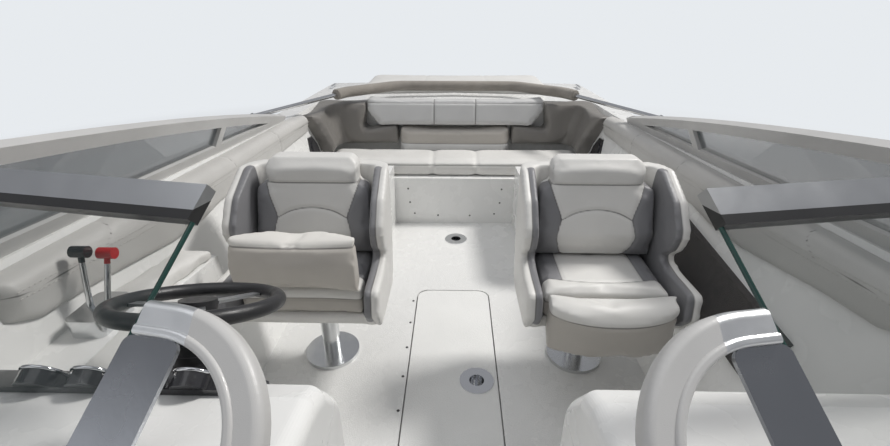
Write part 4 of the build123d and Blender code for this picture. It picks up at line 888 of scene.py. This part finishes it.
def seat_pads(seat):
    """One seat's four pads, with the helm's bolster raised and the companion's lowered."""
    def own(field):
        """The field, read from this seat's centre line."""
        return lambda p: field(p - (0.0, SEAT_Y[seat], 0.0))

    def seat_vinyl(part, colour, **panels):
        return sewn_vinyl(f"{seat}_{part}", colour, panels.items())

    shell = seat_vinyl("shell_vinyl", LIGHT_VINYL, charcoal=CHARCOAL_VINYL)
    cushion = seat_vinyl("cushion_vinyl", LIGHT_VINYL, charcoal=CHARCOAL_VINYL, skirt=TAUPE_VINYL)
    back = seat_vinyl("back_vinyl", LIGHT_VINYL, charcoal=CHARCOAL_VINYL)
    if seat == "helm":
        skirt = own(raised_skirt)
        # the raised bolster is the same taupe vinyl as the lowered one's skirt, painted lighter as painted
        # sunlight
        bolster = seat_vinyl("bolster_up_painted_sunlight", SUNLIT_TAUPE_TOP, skirt=SUNLIT_TAUPE_SKIRT)
    else:
        skirt = own(lowered_skirt)
        bolster = seat_vinyl("bolster_down", LIGHT_VINYL, skirt=TAUPE_VINYL)
    return [
        Pad(f"{seat}_seat_shell", f"{seat}_seat", shell, voxel=SEAT_VOXEL, shrink=0.001, cap=0.005,
            seams=own(shell_seams), panels={"charcoal": own(shell_lining)}),
        Pad(f"{seat}_seat_cushion", f"{seat}_seat", cushion, voxel=SEAT_VOXEL,
            seams=own(cushion_seams), panels={"charcoal": own(cushion_lining), "skirt": own(cushion_skirt)}),
        Pad(f"{seat}_seat_back", f"{seat}_seat", back, voxel=SEAT_VOXEL,
            seams=own(back_seams), panels={"charcoal": own(back_lining)}),
        Pad(f"{seat}_bolster", f"{seat}_seat_bolster", bolster, voxel=SEAT_VOXEL,
            seams=lambda p: np.abs(skirt(p)), panels={"skirt": skirt}),
    ]


def all_pads():
    """Every pad of the boat apart from the long coaming pads."""
    return [
        Pad("wrap_backrests", "boat", sewn_vinyl("wrap_vinyl", TAUPE_VINYL), voxel=0.016, cap=0.016),
        Pad("armrest", "boat", vinyl("light_vinyl", LIGHT_VINYL)),
        Pad("lounge_seat", "boat", sewn_vinyl("lounge_seat_vinyl", LIGHT_VINYL), cap=0.016,
            seams=lambda p: level_seam(p, LOUNGE_WELT_Z, LOUNGE_WELT_X)),
        # the lower back's foot is a grey band: the seat cushion's light rear, in painted shade
        Pad("lounge_lower_back", "boat", sewn_vinyl("lower_back_vinyl", TAUPE_VINYL, [("shaded_band", GREY_VINYL)]),
            seams=lambda p: np.abs(lower_shaded_band(p)), panels={"shaded_band": lower_shaded_band}),
        Pad("lounge_upper_back", "boat", sewn_vinyl("upper_back_vinyl", GREY_VINYL), seams=upper_back_seams),
        Pad("sunpad", "engine_lid", sewn_vinyl("sunpad_vinyl", LIGHT_VINYL), voxel=WIDE_VOXEL,
            seams=lambda p: sewn_top(p, top=0.90, seam_y=0.245, welt=0.915)),
        Pad("bow_cushions", "boat", sewn_vinyl("bow_cushion_vinyl", LIGHT_VINYL), voxel=WIDE_VOXEL,
            seams=lambda p: sewn_top(p, top=0.64, seam_y=0.30, welt=0.64)),
        Pad("bow_backrests", "boat", vinyl("taupe_vinyl", TAUPE_VINYL, worn=0.14), voxel=WIDE_VOXEL),
        Pad("bimini_roll", "sun_top", canvas(), voxel=0.010, rounds=1, cap=0.006),
        *seat_pads("helm"),
        *seat_pads("companion"),
    ]


# Small shapes set out in rows
def repeater(name, finish, size, long=1.0):
    """A node tree that sets one small round-headed shape on every point, with the values of its inputs."""
    tree = bpy.data.node_groups.new(name, "GeometryNodeTree")
    for label, kind, way in (
            ("Geometry", "Geometry", "INPUT"), ("Size", "Float", "INPUT"),
            ("Length", "Float", "INPUT"), ("Geometry", "Geometry", "OUTPUT")):
        tree.interface.new_socket(label, in_out=way, socket_type=f"NodeSocket{kind}")

    def node(kind, **values):
        made = tree.nodes.new(kind)
        for key, value in values.items():
            setattr(made, key, value)
        return made

    start = node("NodeGroupInput").outputs
    head = node("GeometryNodeMeshUVSphere")
    head.inputs["Segments"].default_value = 8
    head.inputs["Rings"].default_value = 4
    head.inputs["Radius"].default_value = 1.0
    longer = node("ShaderNodeMath", operation="MULTIPLY")
    lower = node("ShaderNodeMath", operation="MULTIPLY")
    lower.inputs[1].default_value = 0.5
    shape = node("ShaderNodeCombineXYZ")
    turn = node("GeometryNodeInputNamedAttribute", data_type="FLOAT_VECTOR")
    turn.inputs["Name"].default_value = "turn"
    spread = node("GeometryNodeInstanceOnPoints")
    real = node("GeometryNodeRealizeInstances")
    coat = node("GeometryNodeSetMaterial")
    coat.inputs["Material"].default_value = finish.material
    end = node("NodeGroupOutput")
    for source, target in (
            (start["Size"], longer.inputs[0]),
            (start["Length"], longer.inputs[1]),
            (start["Size"], lower.inputs[0]),
            (longer.outputs[0], shape.inputs["X"]),
            (start["Size"], shape.inputs["Y"]),
            (lower.outputs[0], shape.inputs["Z"]),
            (start["Geometry"], spread.inputs["Points"]),
            (head.outputs["Mesh"], spread.inputs["Instance"]),
            (turn.outputs["Attribute"], spread.inputs["Rotation"]),
            (shape.outputs[0], spread.inputs["Scale"]),
            (spread.outputs["Instances"], real.inputs["Geometry"]),
            (real.outputs["Geometry"], coat.inputs["Geometry"]),
            (coat.outputs["Geometry"], end.inputs["Geometry"])):
        tree.links.new(source, target)
    return tree, {"Size": size, "Length": long}


def set_out(name, places, tree_and_values):
    """Sets a repeated shape at each (point, along, outward) on the boat and makes it one plain mesh."""
    tree, values = tree_and_values
    mesh = bpy.data.meshes.new(name)
    mesh.from_pydata([place[0] for place in places], [], [])
    turns = mesh.attributes.new("turn", "FLOAT_VECTOR", "POINT")
    for row, (_, along, outward) in zip(turns.data, places):
        outward = Vector(outward).normalized()
        side = outward.cross(Vector(along).normalized()).normalized()
        row.vector = Matrix((side.cross(outward), side, outward)).transposed().to_euler()
    piece = put(name, mesh)
    spread = piece.modifiers.new("set_out", "NODES")
    spread.node_group = tree
    for item in tree.interface.items_tree:
        if item.in_out == "INPUT" and item.name in values:
            spread[item.identifier] = values[item.name]
    smooth_faces(baked(piece))
    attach(piece, "boat")


def add_screws():
    """Screws round the bench's inspection panel and along the locker's lid."""
    heads = repeater("screw_heads", cast_paint("black_screw", (0.02, 0.02, 0.022), 0.35), SCREW_R)
    panel = [((BENCH_FACE_X, y, z), (0, 1, 0), (1, 0, 0)) for y, z in PANEL_SCREWS]
    hatch = [((x, HATCH_SCREWS_Y, HATCH_SCREWS_Z), (1, 0, 0), (0, 0, 1)) for x in HATCH_SCREWS_X]
    set_out("bench_panel_screws", panel, heads)
    set_out("hatch_screws", hatch, heads)


# Coaming pads: sewn panels from the side ledge up to the deck's edge
def wall_y(z):
    """Half breadth of the cockpit's wall at a height."""
    share = (z - WALL_LOW[0]) / (WALL_HIGH[0] - WALL_LOW[0])
    return WALL_LOW[1] + (WALL_HIGH[1] - WALL_LOW[1]) * share


def coaming_thick(share):
    """The pad's thickness from its lower edge (0) to its upper edge (1), rounded off at both."""
    round_off = (1 - np.abs(2 * share - 1) ** COAMING_ROUND_POWER) ** 0.5
    swell = COAMING_SWELL * np.clip(share / COAMING_FULL_AT, 0, 1) ** COAMING_SWELL_POWER
    return COAMING_EDGE + (COAMING_FLAT + swell) * round_off


def coaming_point(x, share):
    """A point on the pad's face, at a share of its height."""
    low, top = height_at(x, COAMING_LOW), height_at(x, COAMING_TOP)
    z = low + (top - low) * share
    return x, wall_y(z) - coaming_thick(share), z


def coaming_skin(side):
    """One side's pad as rings of points and the faces between them; side is 1 to port and -1 to starboard."""
    stations = np.linspace(COAMING_LOW[0][0], COAMING_LOW[-1][0], COAMING_STATIONS)
    shares = (1 - np.cos(np.linspace(0, math.pi, COAMING_AROUND))) / 2
    points = []
    for x in stations:
        end_share = np.clip(min(stations[-1] - x, x - stations[0]) / COAMING_END, 0.0, 1.0)
        face = [coaming_point(x, share) for share in shares]
        for _, y, z in face:
            skin = wall_y(z) - COAMING_SKIN
            points.append((x, side * (skin - (skin - y) * end_share ** 0.5), z))
        for _, _, z in reversed(face):
            points.append((x, side * (wall_y(z) - COAMING_BACK), z))
    around = 2 * COAMING_AROUND
    last = (COAMING_STATIONS - 1) * around
    faces = []
    for ring in range(0, last, around):
        for index in range(around):
            after = (index + 1) % around
            faces.append((ring + index, ring + after, ring + around + after, ring + around + index))
    caps = [tuple(range(around)), tuple(last + index for index in reversed(range(around)))]
    return points, faces + caps


def coaming_seams(p):
    away = line_distance(p[:, 0], p[:, 2], smooth_curve(COAMING_SEAM))
    away = np.minimum(away, line_distance(p[:, 0], p[:, 2], COAMING_BRANCH))
    for joint in COAMING_JOINTS:
        away = np.minimum(away, np.abs(p[:, 0] - joint - JOINT_LEAN * (p[:, 2] - JOINT_Z)))
    return away


def add_coaming_pads():
    mesh = bpy.data.meshes.new("coaming_pads")
    work = bmesh.new()
    for side in (1, -1):
        points, faces = coaming_skin(side)
        corners = [work.verts.new(point) for point in points]
        for face in faces:
            work.faces.new([corners[index] for index in face])
    bmesh.ops.recalc_face_normals(work, faces=work.faces)
    work.to_mesh(mesh)
    work.free()
    smooth_faces(mesh)
    press_seams(mesh, coaming_seams(points_of(mesh)), COAMING_GROOVE_DEEP, COAMING_GROOVE_WIDE)
    cover(mesh, sewn_vinyl("coaming_vinyl", COAMING_VINYL))
    coaming = put("coaming_pads", mesh)
    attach(coaming, "boat")
    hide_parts("coaming_bolsters")


def add_coaming_stitches():
    """A row of stitches on each side of the long seam."""
    places = []
    for side in (1, -1):
        for x in STITCH_X:
            low, top = height_at(x, COAMING_LOW), height_at(x, COAMING_TOP)
            for offset in (-STITCH_OFF, STITCH_OFF):
                _, y, z = coaming_point(x, (height_at(x, COAMING_SEAM) + offset - low) / (top - low))
                place = (x, side * (y - STITCH_PROUD), z)
                places.append((place, (1, 0, STITCH_RISE), (0, -side, STITCH_LEAN)))
    thread = vinyl("seam_thread", THREAD)
    set_out("coaming_stitches", places, repeater("stitches", thread, STITCH_R, STITCH_LONG))


# Glass edges and gauge rings
def rod(name, points, radius, finish, closed=False):
    """A round rod through points on the boat, as a plain mesh."""
    curve = bpy.data.curves.new(name, "CURVE")
    curve.dimensions = "3D"
    curve.bevel_depth = radius
    curve.bevel_resolution = 4
    curve.use_fill_caps = not closed
    line = curve.splines.new("POLY")
    line.points.add(len(points) - 1)
    for point, place in zip(line.points, points):
        point.co = (*place, 1)
    line.use_cyclic_u = closed
    draft = put(name, curve)
    graph = bpy.context.evaluated_depsgraph_get()
    mesh = bpy.data.meshes.new_from_object(draft.evaluated_get(graph))
    bpy.data.objects.remove(draft)
    smooth_faces(mesh)
    cover(mesh, finish)
    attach(put(name, mesh), "boat")


def add_glass_edges():
    """The green edge of each middle pane, where it ends at the walkway."""
    finish = cast_paint("green_glass_edge", (0.012, 0.055, 0.045), 0.2)
    for side, place in ((1, "port"), (-1, "starboard")):
        rod(f"glass_edge_{place}", [(x, side * y, z) for x, y, z in GLASS_EDGE], GLASS_EDGE_R, finish)


def add_gauge_rings():
    axis = Vector((math.sin(GAUGE_LEAN), 0, math.cos(GAUGE_LEAN)))
    port = Vector((0, 1, 0))
    up = port.cross(axis)
    angles = np.linspace(0, 2 * math.pi, GAUGE_RING_POINTS, endpoint=False)
    for number, centre in enumerate(GAUGE_FACES, 1):
        face = Vector(centre) + axis * GAUGE_PROUD
        ring = [face + GAUGE_R * (math.cos(angle) * port + math.sin(angle) * up) for angle in angles]
        rod(f"gauge_ring_{number}", ring, GAUGE_RING_R, STAINLESS, closed=True)


make_floor()
make_world()
for light in LIGHTS:
    add_light(*light)
make_camera()
bpy.context.scene.view_settings.view_transform = "Standard"

for finish, nodes in KEPT:
    for node in nodes:
        coat_node(node, finish)

pad_pieces = [(start_pad(pad), pad) for pad in all_pads()]
blow_up(pad_pieces)
for piece, pad in pad_pieces:
    finish_pad(piece, pad)
add_screws()
add_coaming_pads()
add_coaming_stitches()
add_glass_edges()
add_gauge_rings()
